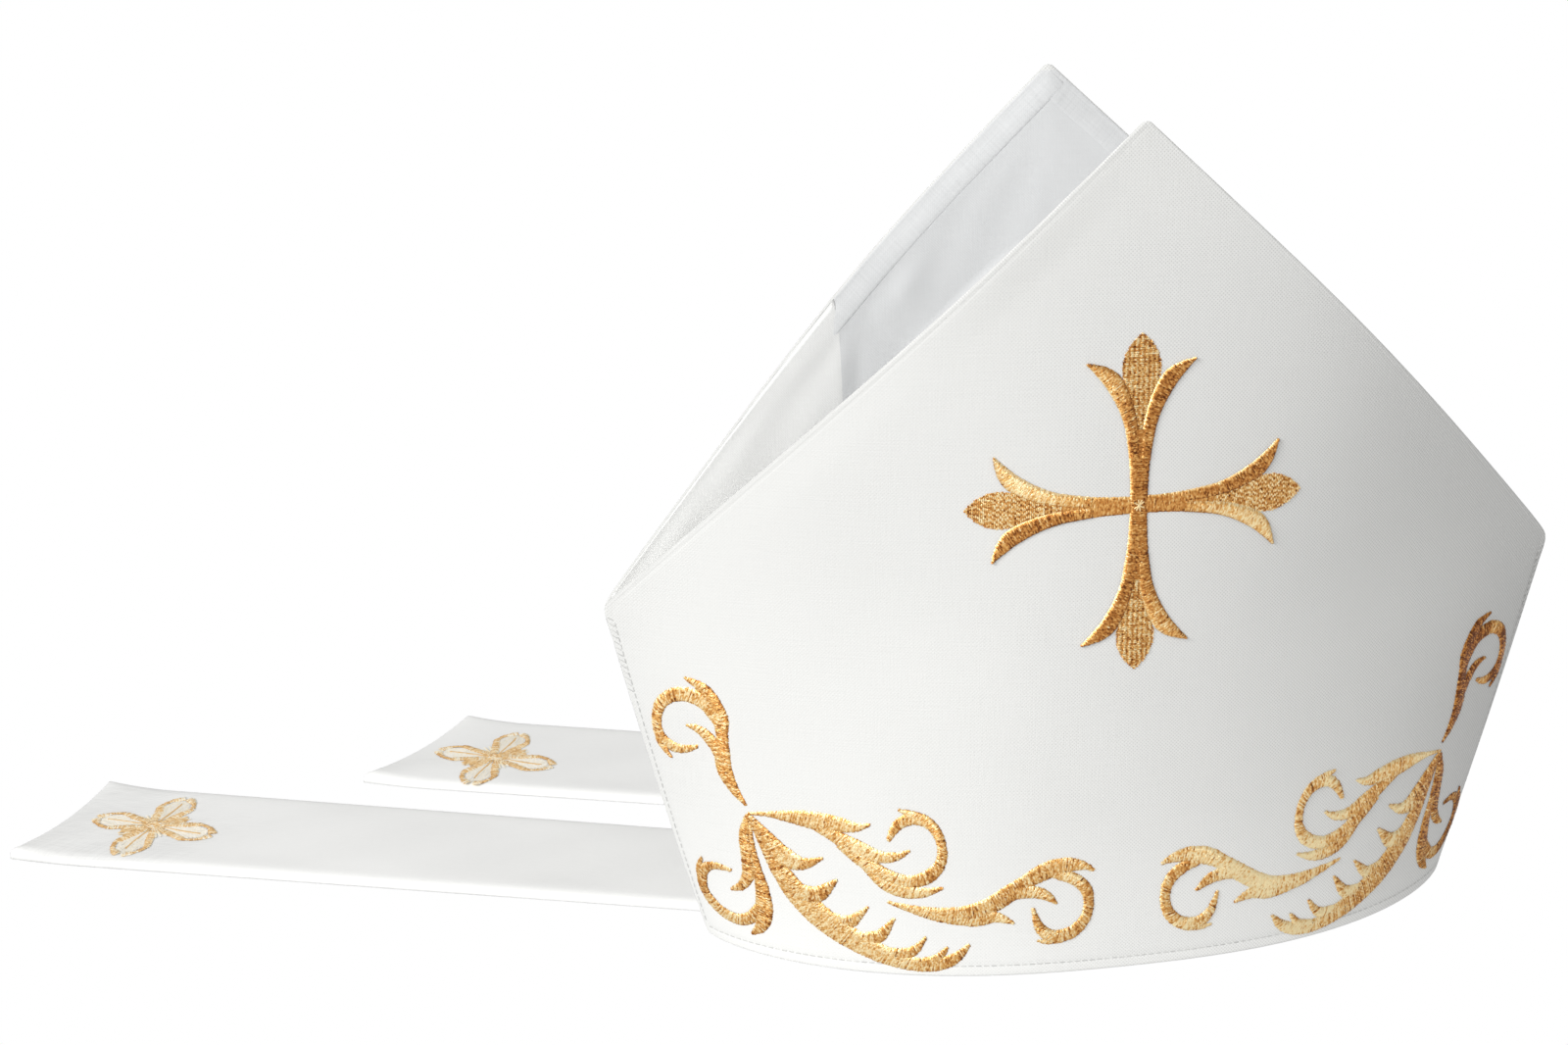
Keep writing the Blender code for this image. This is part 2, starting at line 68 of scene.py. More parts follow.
# The way along y that each panel's outer face looks
OUTWARD = {"front": -1, "back": 1}

LAPPET_HEADING = math.radians(159.4)
LAPPET_CLOTH = 3.0
END_CURL = 3.0
END_CURL_LENGTH = 28.0
FLARE_START = 100.0
# "root" and "end" are half widths, and the two ends are those of the band's two edges
LAPPETS = {
    "left": {"middle": -3.7, "root": 28.4, "end": 31.3, "near_end": 382.0, "far_end": 371.5},
    "right": {"middle": 77.5, "root": 30.0, "end": 31.0, "near_end": 277.0, "far_end": 254.0},
}
# The right lappet leaves the back rim between these x, and lies straight from RIGHT_TURN on
RIGHT_ROOT = (-8.0, 86.0)
RIGHT_TURN = 48.0

# The scrolls of the right corner, stroke by stroke: (around, height, width)
CURL = [
    [(125.1, 56.3, 1.0), (128.2, 60.2, 3.0), (131.6, 67, 5.2), (132.4, 74, 5.4), (132.2, 81, 4.2),
     (133.4, 87, 6.6), (138.5, 91.6, 5.4), (146, 93.0, 5.0), (152.4, 89.6, 4.2), (155.2, 83, 3.6),
     (154.6, 77, 4.0), (150.8, 73.6, 3.8), (145.6, 73.2, 2.8), (140.8, 75.0, 1.2)],
    [(131.4, 82, 3.0), (133.3, 89, 4.8), (137.3, 95.2, 4.4), (140.6, 97.5, 2.6), (144.3, 98.9, 0.8)],
    [(132.0, 70, 4.0), (134.6, 75.6, 4.0), (137.7, 79.6, 3.8), (141, 81.6, 2.6), (144.6, 82.1, 0.8)],
    [(155.2, 79, 3.0), (154.4, 73.6, 2.8), (150.8, 69.2, 1.0)],
]
SPRAY = [
    [(124.5, 53.2, 0.8), (117, 54.0, 2.0), (109, 54.1, 4.8), (101, 53.4, 6.4), (93, 52.6, 5.2),
     (88, 52.3, 3.0), (83.7, 53.6, 0.8)],
    [(103, 52.6, 3.4), (95, 48.6, 4.6), (88, 44.8, 6.2), (81, 42.4, 4.4), (75, 42.9, 2.8),
     (70.9, 45.2, 0.8)],
    [(93, 46.0, 4.0), (86, 40.8, 5.2), (79, 36.2, 4.6), (71, 34.2, 4.4), (64.4, 36.6, 4.6),
     (60.8, 42.0, 3.4), (61.2, 49.0, 3.0), (64.8, 54.7, 3.8), (70.2, 56.4, 4.4), (75, 53.8, 3.4),
     (78.1, 48.2, 1.4)],
    [(67.0, 56.4, 3.6), (71, 58.0, 2.6), (74.6, 59.3, 0.8)],
    [(86, 40.0, 3.0), (80, 34.2, 4.8), (74, 31.0, 5.0), (67, 30.3, 3.6), (60.2, 32.2, 0.8)],
    [(124.2, 52.6, 1.6), (119.7, 44.3, 3.6), (114.5, 35.0, 6.2), (107.7, 25.7, 8.2), (99, 17.8, 8.6),
     (89.5, 12.0, 7.8), (80, 7.6, 6.6), (70, 4.6, 5.0), (61.5, 4.6, 4.4), (55.6, 7.4, 3.6),
     (51.7, 11.8, 1.0)],
    [(123.6, 52.0, 2.0), (118.6, 46.0, 5.0), (112.8, 39.5, 7.4), (106.2, 37.5, 4.4), (99.3, 40.4, 0.8)],
    [(113, 32.0, 5.0), (107, 27.0, 6.6), (101, 27.2, 5.6), (94.6, 33.2, 0.9)],
    [(103, 20.4, 4.0), (96, 18.4, 5.0), (90.4, 18.4, 4.4), (84.6, 24.1, 0.9)],
    [(93, 13.4, 4.0), (86, 12.6, 5.0), (80.6, 14.2, 4.2), (76.0, 20.6, 0.9)],
    [(82, 8.4, 4.0), (75, 7.8, 4.4), (69.8, 9.2, 3.4), (65.7, 14.4, 0.9)],
    [(68, 4.8, 3.6), (62.2, 6.6, 3.2), (58.6, 11.0, 0.9)],
    [(124.6, 52.4, 1.8), (125.9, 45, 3.9), (125.4, 37, 4.4), (125.4, 30.4, 4.4), (128.0, 25.8, 3.4),
     (132.2, 23.3, 1.1)],
    [(124.0, 50.0, 1.2), (123.5, 42, 1.9), (122.1, 34, 3.0), (120.5, 26, 4.9), (120.2, 18, 6.4),
     (121.6, 12, 4.8), (125.4, 7.6, 1.0)],
    [(121.6, 18.6, 4.0), (126.2, 13.4, 4.4), (132, 12.0, 4.2), (138.6, 14.4, 4.2), (143.4, 19.8, 4.0),
     (143.6, 26.4, 4.4), (139.9, 30.3, 3.2), (135.6, 31.1, 2.2), (131.4, 30.6, 1.2)],
    [(144.4, 22, 3.0), (144.4, 28, 2.8), (142.9, 32.8, 0.9)],
]
SCROLL = [
    [(78.0, 26.5, 0.9), (70, 24.4, 2.8), (61, 22.6, 5.2), (52.6, 22.8, 6.2), (45.4, 25.6, 6.0),
     (39, 29.8, 6.0), (33, 34.2, 5.2), (26.6, 37.7, 6.2), (20, 39.0, 5.4), (14.8, 38.4, 3.0),
     (11.2, 36.6, 0.9)],
    [(58, 21.6, 4.4), (50, 20.7, 4.6), (43.6, 21.6, 4.0), (37.2, 19.2, 0.8)],
    [(43, 27.0, 4.4), (37, 30.0, 4.6), (31.6, 30.2, 4.4), (27, 28.6, 3.4), (23.4, 25.6, 0.8)],
    [(24, 36.2, 3.0), (18.4, 34.4, 4.2), (14.2, 30.6, 4.0), (12.8, 25.0, 3.4), (14.2, 19.0, 3.8),
     (18.4, 14.8, 4.4), (24.0, 13.8, 4.6), (28.6, 17.0, 3.4), (31.2, 24.3, 1.0)],
    [(21, 12.8, 3.0), (25.6, 12.1, 2.2), (29.3, 12.4, 0.8)],
]

# The main cross: one arm, as distance out from the centre and half width. A side leaf's rows pair a
# point on its outer border with the point on its inner border that a stitch runs to.
CROSS_HEIGHT = 159.9
SHAFT = [(0.0, 2.7), (5, 2.8), (10, 3.0), (15, 3.4), (20, 4.1), (24, 4.8)]
SIDE_LEAF = [
    ((15, 3.4), (15.4, 0.0)), ((20, 4.1), (20.8, 0.2)), ((24, 4.8), (25.3, 0.9)),
    ((28, 6.0), (29.9, 1.8)), ((32, 7.7), (34.4, 3.2)), ((35.4, 9.6), (38.4, 5.0)),
    ((38.4, 11.5), (41.5, 7.0)), ((41.2, 13.8), (43.8, 10.3)), ((43.6, 15.8), (44.9, 13.5)),
    ((45.2, 17.4), (45.5, 16.6)),
]
CENTRE_LEAF = [(21, 0.3), (26, 1.3), (31, 2.7), (36, 4.6), (41, 6.0), (45, 6.1), (48, 5.2),
               (51, 3.5), (53, 1.7), (54.2, 0.3)]

# A lappet's cross: its centre, along and across the band, and its turn
CROSS_CENTRE = {"left": (339.9, -1.9), "right": (232.4, -5.9)}
CROSS_TURN = math.radians(7)


def ease(start, end, value):
    """From 0 to 1 as the value passes from start to end, smooth at both."""
    t = np.clip((value - start) / (end - start), 0, 1)
    return t * t * (3 - 2 * t)


def bell(offset, width):
    """1 at no offset, and smoothly down to nothing about two widths away."""
    return np.exp(-((offset / width) ** 2))


def unit(vectors):
    """The vectors' directions, each one long."""
    return vectors / np.maximum(np.linalg.norm(vectors, axis=-1, keepdims=True), 1e-9)


def distances(steps):
    """How far a line has run at each of its points, from the lengths of its steps."""
    return np.concatenate([np.zeros_like(steps[..., :1]), np.cumsum(steps, axis=-1)], axis=-1)


def quadratic(first, middle, last, middle_height, last_height, height):
    """The curve through three values, of which the first is at height 0."""
    a = (height - middle_height) * (height - last_height) / (middle_height * last_height)
    b = height * (height - last_height) / (middle_height * (middle_height - last_height))
    c = height * (height - middle_height) / (last_height * (last_height - middle_height))
    return first * a + middle * b + last * c


def half_width(height):
    """Half the width between the side seams, which run on straight above the corners."""
    rim, middle, corner = HALF_WIDTH
    lean = (rim - 4 * middle + 3 * corner) / CORNER_HEIGHT
    below = np.minimum(height, CORNER_HEIGHT)
    seam = quadratic(rim, middle, corner, CORNER_HEIGHT / 2, CORNER_HEIGHT, below)
    return seam + np.maximum(height - CORNER_HEIGHT, 0) * lean


def half_depth(side, height):
    return quadratic(*HALF_DEPTH, PEAK_DEPTH[side], CORNER_HEIGHT, PEAK_HEIGHT, height)


def blend(values, height):
    """A value that runs from the rim to the corners and on to the peak, eased where the runs meet."""
    past = height - CORNER_HEIGHT
    above = np.where(np.abs(past) < BEND, (past + BEND) ** 2 / (4 * BEND), np.maximum(past, 0))
    below_slope, above_slope = (values[1] - values[0]) / CORNER_HEIGHT, (values[2] - values[1]) / RISE
    return values[0] + below_slope * height + (above_slope - below_slope) * above


def section(side, share, height):
    """x and y of a panel's outer face, by the share of the half width from its centre line."""
    bulge = np.maximum(1 - np.abs(share) ** blend(SWELL, height), 0) ** blend(TAPER, height)
    return half_width(height) * share, OUTWARD[side] * half_depth(side, height) * bulge


ARC_STEP = 0.5
WALL_ROWS = 280
WALL_COLUMNS = 240
# The square direction is taken over these reaches round the cloth and up it
PROBE_ROUND = 0.5
PROBE_UP = 0.6


class Wall:
    """The outer face of a panel, by distance round the cloth and height."""

    def __init__(self, side):
        self.side = side
        self.heights = np.linspace(0, PEAK_HEIGHT, WALL_ROWS + 1)
        shares = np.sin(np.linspace(0, math.pi / 2, WALL_COLUMNS))
        x, y = section(side, shares[None, :], self.heights[:, None])
        arcs = distances(np.hypot(np.diff(x, axis=1), np.diff(y, axis=1)))
        self.full = arcs[:, -1]
        even = np.arange(0, arcs.max() + 4 * ARC_STEP, ARC_STEP)
        self.shares = np.array([np.interp(even, row, shares) for row in arcs])

    def seam(self, height):
        """How far round the side seam is."""
        return np.interp(height, self.heights, self.full)

    def level(self, around, height):
        """Points on the outer face."""
        row = np.clip(height / PEAK_HEIGHT * WALL_ROWS, 0, WALL_ROWS)
        column = np.clip(np.abs(around) / ARC_STEP, 0, self.shares.shape[1] - 1)
        r = np.minimum(row.astype(int), WALL_ROWS - 1)
        c = np.minimum(column.astype(int), self.shares.shape[1] - 2)
        up, on = row - r, column - c
        near = self.shares[r, c] * (1 - up) + self.shares[r + 1, c] * up
        far = self.shares[r, c + 1] * (1 - up) + self.shares[r + 1, c + 1] * up
        share = near * (1 - on) + far * on
        x, y = section(self.side, share * np.where(around < 0, -1.0, 1.0), height)
        return np.stack([x, y, height + 0 * x], axis=-1)

    def place(self, around, height, out):
        """Points off the outer face by a distance square to it."""
        around, height = np.broadcast_arrays(np.asarray(around, float), np.asarray(height, float))
        reach = np.minimum(np.abs(around), self.seam(height) - PROBE_UP) * np.sign(around)
        low = np.maximum(height - PROBE_UP, 0)
        high = np.minimum(height + PROBE_UP, PEAK_HEIGHT)
        across = self.level(reach + PROBE_ROUND, height) - self.level(reach - PROBE_ROUND, height)
        square = unit(np.cross(across, self.level(reach, high) - self.level(reach, low)))
        square *= np.where(square[..., 1:2] * OUTWARD[self.side] < 0, -1, 1)
        return self.level(around, height) + square * np.asarray(out, float)[..., None]


WALLS = {side: Wall(side) for side in OUTWARD}
CORNER_ARC = WALLS["front"].seam(CORNER_HEIGHT)
CUT_LENGTH = math.hypot(CORNER_ARC, RISE)
CORNER_SOFTNESS = 1.6
# The cloth's peak: how high its cut edges would meet, half its angle, and its rounded tip
CLOTH_PEAK = PEAK_HEIGHT - 0.15
PEAK_ANGLE = math.atan2(CORNER_ARC, RISE)
TIP_RADIUS = 2.4
TIP_CENTRE = CLOTH_PEAK - TIP_RADIUS / math.sin(PEAK_ANGLE)


def outline(side, height):
    """How far round the cloth a panel reaches at a height, its corners and its peak a little rounded."""
    tip = np.sqrt(np.maximum(TIP_RADIUS**2 - (height - TIP_CENTRE) ** 2, 0))
    straight = CORNER_ARC * (CLOTH_PEAK - height) / RISE
    cut = np.where(height > TIP_CENTRE + TIP_RADIUS * math.sin(PEAK_ANGLE), tip, straight)
    seam = WALLS[side].seam(height)
    soft = CORNER_SOFTNESS
    return -soft * np.logaddexp(-seam / soft, -np.maximum(cut, 0) / soft)


# ---- making meshes

# Millimetres of cloth to one unit of its coordinates, and where a panel's centre line lies in them
CLOTH_UNIT = 100
PANEL_SHIFT = 200
WELD = 0.01


def mesh_object(name, points, faces, look, uv=None, tones=None, weld=0.0):
    mesh = bpy.data.meshes.new(name)
    mesh.from_pydata((np.asarray(points, float) * MM).tolist(), [], np.asarray(faces).tolist())
    if uv is not None:
        layer = mesh.uv_layers.new(name="cloth")
        corner = np.zeros(len(mesh.loops), np.int32)
        mesh.loops.foreach_get("vertex_index", corner)
        layer.data.foreach_set("uv", np.asarray(uv, np.float32)[corner].ravel())
    if tones is not None:
        tone_layer = mesh.attributes.new("tone", "FLOAT", "POINT")
        tone_layer.data.foreach_set("value", np.asarray(tones, np.float32).ravel())
    if weld:
        edit = bmesh.new()
        edit.from_mesh(mesh)
        bmesh.ops.remove_doubles(edit, verts=edit.verts, dist=weld * MM)
        bmesh.ops.dissolve_degenerate(edit, edges=edit.edges, dist=weld * MM)
        bmesh.ops.recalc_face_normals(edit, faces=edit.faces)
        edit.to_mesh(mesh)
        edit.free()
    mesh.shade_smooth()
    mesh.materials.append(look)
    return link_object(name, mesh)


def link_object(name, data):
    made = bpy.data.objects.new(name, data)
    bpy.context.scene.collection.objects.link(made)
    return made


def grid_faces(rows, cols, start=0):
    i = np.arange(rows - 1)[:, None] * cols + np.arange(cols - 1)[None, :] + start
    return np.stack([i, i + 1, i + cols + 1, i + cols], axis=-1).reshape(-1, 4)


def shell(name, outer, inner, uv, look, tones=None):
    """A closed cloth from two grids of points that meet along all four sides."""
    rows, cols = outer.shape[:2]
    points = np.concatenate([outer.reshape(-1, 3), inner.reshape(-1, 3)])
    faces = np.concatenate([grid_faces(rows, cols), grid_faces(rows, cols, rows * cols)[:, ::-1]])
    flat = np.asarray(uv).reshape(-1, 2)
    uv = np.concatenate([flat, flat]) / CLOTH_UNIT
    if tones is not None:
        tones = np.concatenate([tones.ravel(), tones.ravel()])
    return mesh_object(name, points, faces, look, uv, tones, weld=WELD)


def piece(made, slot, *nodes):
    """Puts a piece on the part's body and hides the CAD nodes that it stands for. The slot is not used."""
    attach(made, "root")
    if nodes:
        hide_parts(*nodes)
    return made


# ---- materials


def set_inputs(node, **inputs):
    """Sets inputs by their names, with _ for a space."""
    for name, value in inputs.items():
        node.inputs[name.replace("_", " ")].default_value = value


class Nodes:
    """Short ways to build a node tree."""

    def __init__(self, tree):
        self.tree = tree

    def add(self, kind, **inputs):
        node = self.tree.nodes.new("ShaderNode" + kind)
        set_inputs(node, **inputs)
        return node

    def link(self, value, socket):
        if isinstance(value, bpy.types.NodeSocket):
            self.tree.links.new(value, socket)
        else:
            socket.default_value = value

    def attribute(self, name):
        node = self.add("Attribute")
        node.attribute_name = name
        return node.outputs["Fac"]

    def math(self, operation, a, b=0.0, c=0.0):
        node = self.add("Math")
        node.operation = operation
        for value, socket in zip((a, b, c), node.inputs):
            self.link(value, socket)
        return node.outputs[0]

    def noise(self, vector, scale, detail=2.0):
        node = self.add("TexNoise", Scale=scale, Detail=detail)
        self.link(vector, node.inputs["Vector"])
        return node.outputs["Fac"]

    def stretch(self, vector, scale):
        node = self.add("Mapping", Scale=scale)
        self.link(vector, node.inputs["Vector"])
        return node.outputs[0]

    def ramp(self, value, stops):
        node = self.add("ValToRGB")
        self.link(value, node.inputs[0])
        elements = node.color_ramp.elements
        for (place, colour), element in zip(stops, list(elements) + [None] * len(stops)):
            element = element or elements.new(place)
            element.position, element.color = place, (*colour, 1)
        return node.outputs[0]

    def bump(self, height, strength, distance, normal=None):
        node = self.add("Bump", Strength=strength, Distance=distance)
        self.link(height, node.inputs["Height"])
        if normal is not None:
            self.link(normal, node.inputs["Normal"])
        return node.outputs[0]


def new_material(name, **inputs):
    """A material, its node tools and its shader's inputs."""
    material = bpy.data.materials.new(name)
    material.use_nodes = True
    shader = material.node_tree.nodes["Principled BSDF"]
    set_inputs(shader, **inputs)
    return material, Nodes(material.node_tree), shader.inputs


# How often slubs repeat in a unit of cloth, along the warp and along the weft
WARP_SLUBS = (170.0, 9.0, 1.0)
WEFT_SLUBS = (7.0, 190.0, 1.0)
MOTTLE_SCALE = 2.2
MOTTLE = 0.25
# How far painted shade can darken a cloth's dark colour
DEEPEST_PAINTED_SHADE = 0.84
# The weave's painted shade starts this far round from the middle line
WEAVE_SHADE_START = -120


def cloth_material(
    name, light, dark, thread=0.45, roughness=0.5, sheen=0.2, weave_depth=0.00003, slubs=0.4, weave_shade=0.0
):
    """Plain weave: threads that pass over and under by turns, slubs along both ways, faint mottling.

    Where a cloth has it, the weave gets a painted shade in its low cells that deepens from left to right.
    """
    material, n, shader = new_material(
        name, Roughness=roughness, Sheen_Weight=sheen, Sheen_Roughness=0.45, Specular_IOR_Level=0.2
    )
    uv = n.add("UVMap")
    uv.uv_map = "cloth"
    cloth = uv.outputs[0]
    parts = n.add("SeparateXYZ")
    n.link(cloth, parts.inputs[0])
    u = n.math("MULTIPLY", parts.outputs[0], CLOTH_UNIT / thread * math.pi)
    v = n.math("MULTIPLY", parts.outputs[1], CLOTH_UNIT / thread * math.pi)
    over = n.math("MULTIPLY", n.math("SINE", u), n.math("SINE", v))
    weave = n.math("MULTIPLY_ADD", over, 0.5, 0.5)
    warp = n.noise(n.stretch(cloth, WARP_SLUBS), 1.0)
    weft = n.noise(n.stretch(cloth, WEFT_SLUBS), 1.0)
    yarn = n.math("ADD", n.math("MULTIPLY", warp, 0.5), n.math("MULTIPLY", weft, 0.5))
    mottle = n.noise(cloth, MOTTLE_SCALE, detail=3.0)
    tone = n.math("ADD", n.math("MULTIPLY", yarn, slubs), n.math("MULTIPLY", mottle, MOTTLE))
    if weave_shade:
        start = (PANEL_SHIFT + WEAVE_SHADE_START) / CLOTH_UNIT
        # Painted shade in the weave's low cells, growing from left to right as grazing light would show it
        weave_shade_amount = n.math("MULTIPLY_ADD", parts.outputs[0], weave_shade, -start * weave_shade)
        tone = n.math("MULTIPLY_ADD", n.math("SUBTRACT", weave, 0.5), weave_shade_amount, tone)
    # The tone attribute darkens the cloth: painted shade, down to the deepest painted shade at the ramp's
    # first stop
    tone = n.math("SUBTRACT", tone, n.attribute("tone"))
    deepest_painted_shade = tuple(DEEPEST_PAINTED_SHADE * c for c in dark)
    n.link(n.ramp(tone, [(0.0, deepest_painted_shade), (0.15, dark), (0.5, light)]), shader["Base Color"])
    relief = n.bump(weave, 0.5, weave_depth)
    n.link(n.bump(yarn, 0.6, weave_depth * 3, relief), shader["Normal"])
    return material


GLITTER_SCALE = 1500.0
GLITTER = 0.45
GLITTER_DEPTH = 0.0003


def thread_material(name, stops, roughness, metallic):
    """Thread whose stitches have a tone each, partly painted highlight and shade, with a fine glitter on
    top.
    """
    material, n, shader = new_material(
        name, Roughness=roughness, Metallic=metallic, Specular_IOR_Level=0.3
    )
    grain = n.noise(n.add("TexCoord").outputs["Object"], GLITTER_SCALE, detail=1.0)
    glitter = n.math("MULTIPLY", n.math("SUBTRACT", grain, 0.5), GLITTER)
    mixed = n.math("ADD", n.attribute("tone"), glitter)
    n.link(n.ramp(mixed, stops), shader["Base Color"])
    n.link(n.bump(grain, 0.6, GLITTER_DEPTH), shader["Normal"])
    return material


WHITE = cloth_material(
    "white_weave", (0.83, 0.83, 0.81), (0.79, 0.79, 0.77), thread=0.6, roughness=0.6, sheen=0.04,
    weave_depth=0.00006, slubs=0.36, weave_shade=0.62,
)
SMOOTH = cloth_material(
    "white_smooth", (0.86, 0.86, 0.845), (0.82, 0.82, 0.805), sheen=0.12, weave_depth=0.00004
)
LINING = cloth_material("lining_weave", (0.74, 0.747, 0.749), (0.68, 0.687, 0.689))
FOLDED = cloth_material("folded_weave", (0.90, 0.905, 0.905), (0.71, 0.717, 0.719))
GOLD = thread_material(
    "gold_thread",
    [(0.0, (0.12, 0.03, 0.004)), (0.16, (0.38, 0.14, 0.027)), (0.32, (0.53, 0.215, 0.045)),
     (0.62, (0.78, 0.45, 0.145)), (1.0, (0.97, 0.81, 0.48))],
    roughness=0.36, metallic=0.6,
)
GOLD_CORE = thread_material(
    "gold_core", [(0.0, (0.30, 0.12, 0.03)), (1.0, (0.62, 0.33, 0.11))], roughness=0.5, metallic=0.5
)
PALE_GOLD = thread_material(
    "pale_gold_thread",
    [(0.0, (0.58, 0.31, 0.11)), (0.45, (0.86, 0.58, 0.27)), (0.8, (0.97, 0.87, 0.64)),
     (1.0, (0.98, 0.94, 0.86))],
    roughness=0.45, metallic=0.3,
)
STITCH = thread_material(
    "white_stitch", [(0.0, (0.50, 0.50, 0.49)), (1.0, (0.72, 0.72, 0.70))], roughness=0.6, metallic=0.0
)

# ---- the panels

THIN_EDGE = 1.1
THINNING = 9
# Distances in from an edge at which its rounding has rows of points
EDGE_STEPS = [0, 0.1, 0.35, 0.7, 1.1, 1.5, 1.9, 2.3, 2.8, 3.4, 4.0, 4.8, 6.5, 9.0]
# Rows above and below the corners, and below the tip
CORNER_ROWS = (-7, -4.5, -2.8, -1.6, -0.8, 0, 0.8, 1.8, 3, 4.6, 7)
TIP_ROWS = (7.5, 5.5, 4, 2.9, 2.1, 1.4, 0.8, 0.4, 0.15, 0.0)
ROW_PITCH = 3.6
FLAT_COLUMNS = 50
# Lines of stitching pressed into the cloth: depth, distance in from the edge, width
HEM_LINE = (0.16, 4.0, 0.55)
SEAM_LINE = (0.12, 3.0, 0.5)
CUT_LINE = (0.09, 1.9, 0.35)
# Painted shade along the cut edges and towards the side seams
CUT_PAINTED_SHADE = 0.4
SIDE_PAINTED_SHADE = 0.10
PANEL_SEED = {"front": 0.4, "back": 2.1}


def rounded(distance, radius):
    """Half the cloth's thickness at a distance in from its edge."""
    return radius * np.sqrt(np.maximum(1 - (1 - np.clip(distance / radius, 0, 1)) ** 2, 0))


def cut_distance(around, height):
    """How far in from its cut edge a spot on a panel is."""
    return (CORNER_ARC * (PEAK_HEIGHT - height) / RISE - np.abs(around)) * RISE / CUT_LENGTH


def cloth_depth(around, height):
    """The panels' thickness: they thin towards their cut edges."""
    return THIN_EDGE + (WALL - THIN_EDGE) * ease(0, THINNING, cut_distance(around, height))


def relief_at(side, around, height):
    """The low unevenness of a panel's face, none at its edges: three waves of unequal lengths."""
    seed = PANEL_SEED[side]
    waves = (
        0.22 * np.sin(around / 29 + seed + 0.8 * np.sin(height / 41))
        + 0.16 * np.sin(height / 23 + around / 71 + 2 * seed)
        + 0.10 * np.sin(around / 13 - height / 37 + 3 * seed)
    )
    edge = np.minimum(cut_distance(around, height), WALLS[side].seam(height) - np.abs(around))
    return waves * ease(2, 14, np.minimum(edge, height))


def pressed(line, distance):
    depth, middle, width = line
    return -depth * bell(distance - middle, width)


def panel_rows(side, heights):
    """Distances round and in from the sides for each row: close at the edges, even between them."""
    reach = outline(side, heights)
    reach[-1] = 0
    lean = 1 / np.sqrt(1 + np.clip(np.gradient(reach, heights), -6, 6) ** 2)
    rows, away = [], []
    for half, factor in zip(reach, lean):
        inset = np.array(EDGE_STEPS) / factor
        if inset[-1] > 0.45 * half:
            inset = inset * (0.45 * half / inset[-1])
        near = half - inset
        flat = np.linspace(-near[-1], near[-1], FLAT_COLUMNS + 2)[1:-1]
        rows.append(np.concatenate([-near, flat, near[::-1]]))
        away.append((half - np.abs(rows[-1])) * factor)
    return np.array(rows), np.array(away)


def panel_cloth(side):
    top = TIP_CENTRE + TIP_RADIUS
    first, last = CORNER_ROWS[0], CORNER_ROWS[-1]
    heights = EDGE_STEPS + list(np.arange(12.5, CORNER_HEIGHT + first - 1, ROW_PITCH))
    heights += [CORNER_HEIGHT + d for d in CORNER_ROWS]
    heights += list(np.arange(CORNER_HEIGHT + last + 3, top - 9, ROW_PITCH))
    heights = np.array(heights + [top - d for d in TIP_ROWS])
    around, away = panel_rows(side, heights)
    height = np.repeat(heights[:, None], around.shape[1], axis=1)
    edge = np.minimum(away, np.maximum(top - height, 0) * 0.9)
    middle = cloth_depth(around, height) / 2
    half_thick = rounded(np.minimum(edge, height), middle)
    cut = ease(CORNER_HEIGHT - 3, CORNER_HEIGHT + 4, height)
    relief = pressed(HEM_LINE, height) * ease(2, 5, edge)
    relief += pressed(SEAM_LINE, edge) * (1 - cut) * ease(3, 6, height)
    relief += pressed(CUT_LINE, edge) * cut
    relief += relief_at(side, around, height)
    outer = WALLS[side].place(around, height, half_thick - middle + relief)
    inner = WALLS[side].place(around, height, -half_thick - middle + relief)
    for face in (outer, inner):
        face[..., 1] = OUTWARD[side] * np.maximum(OUTWARD[side] * face[..., 1], SEAM_GAP)
        face[..., 2] = np.maximum(face[..., 2], 0)
    uv = np.stack([around + PANEL_SHIFT, height], axis=-1)
    # Painted shade: the cloth is painted darker along the cut edges and towards the side seams
    painted_shade = CUT_PAINTED_SHADE * cut * bell(edge, 0.5) + SIDE_PAINTED_SHADE * ease(60, 145, np.abs(around))
    made = shell(side + "_panel_cloth", outer, inner, uv, WHITE, painted_shade)
    return piece(made, "white_cloth", side + "_panel")


panels = {side: panel_cloth(side) for side in OUTWARD}

# ---- threads

RIDGE = 0.32
LEAST_LIFT = 0.05


def strips_object(name, strips, tones, place, look):
    """Open strips, each a grid of rows of (x, y, out) that is put in its place."""
    faces, start = [], 0
    for strip in strips:
        faces.append(grid_faces(*strip.shape[:2], start))
        start += strip.shape[0] * strip.shape[1]
    x, y, out = np.concatenate([strip.reshape(-1, 3) for strip in strips]).T
    solid = place(x, y, np.maximum(out, LEAST_LIFT))
    return mesh_object(name, solid, np.concatenate(faces), look, tones=tones)


def thread_object(name, runs, place, look):
    """Threads as narrow ridged strips. A run is (points, heights, width, tones) of equal counts."""
    strips, tones = [], []
    for line, lift, width, tone in runs:
        side = directions(line)[0] * width / 2
        flat = np.stack([line - side, line, line + side], axis=1)
        high = np.stack([lift - width * RIDGE, lift, lift - width * RIDGE], axis=1)
        strips.append(np.dstack([flat, high]))
        tones.append(np.repeat(tone, 3))
    return strips_object(name, strips, np.concatenate(tones), place, look)


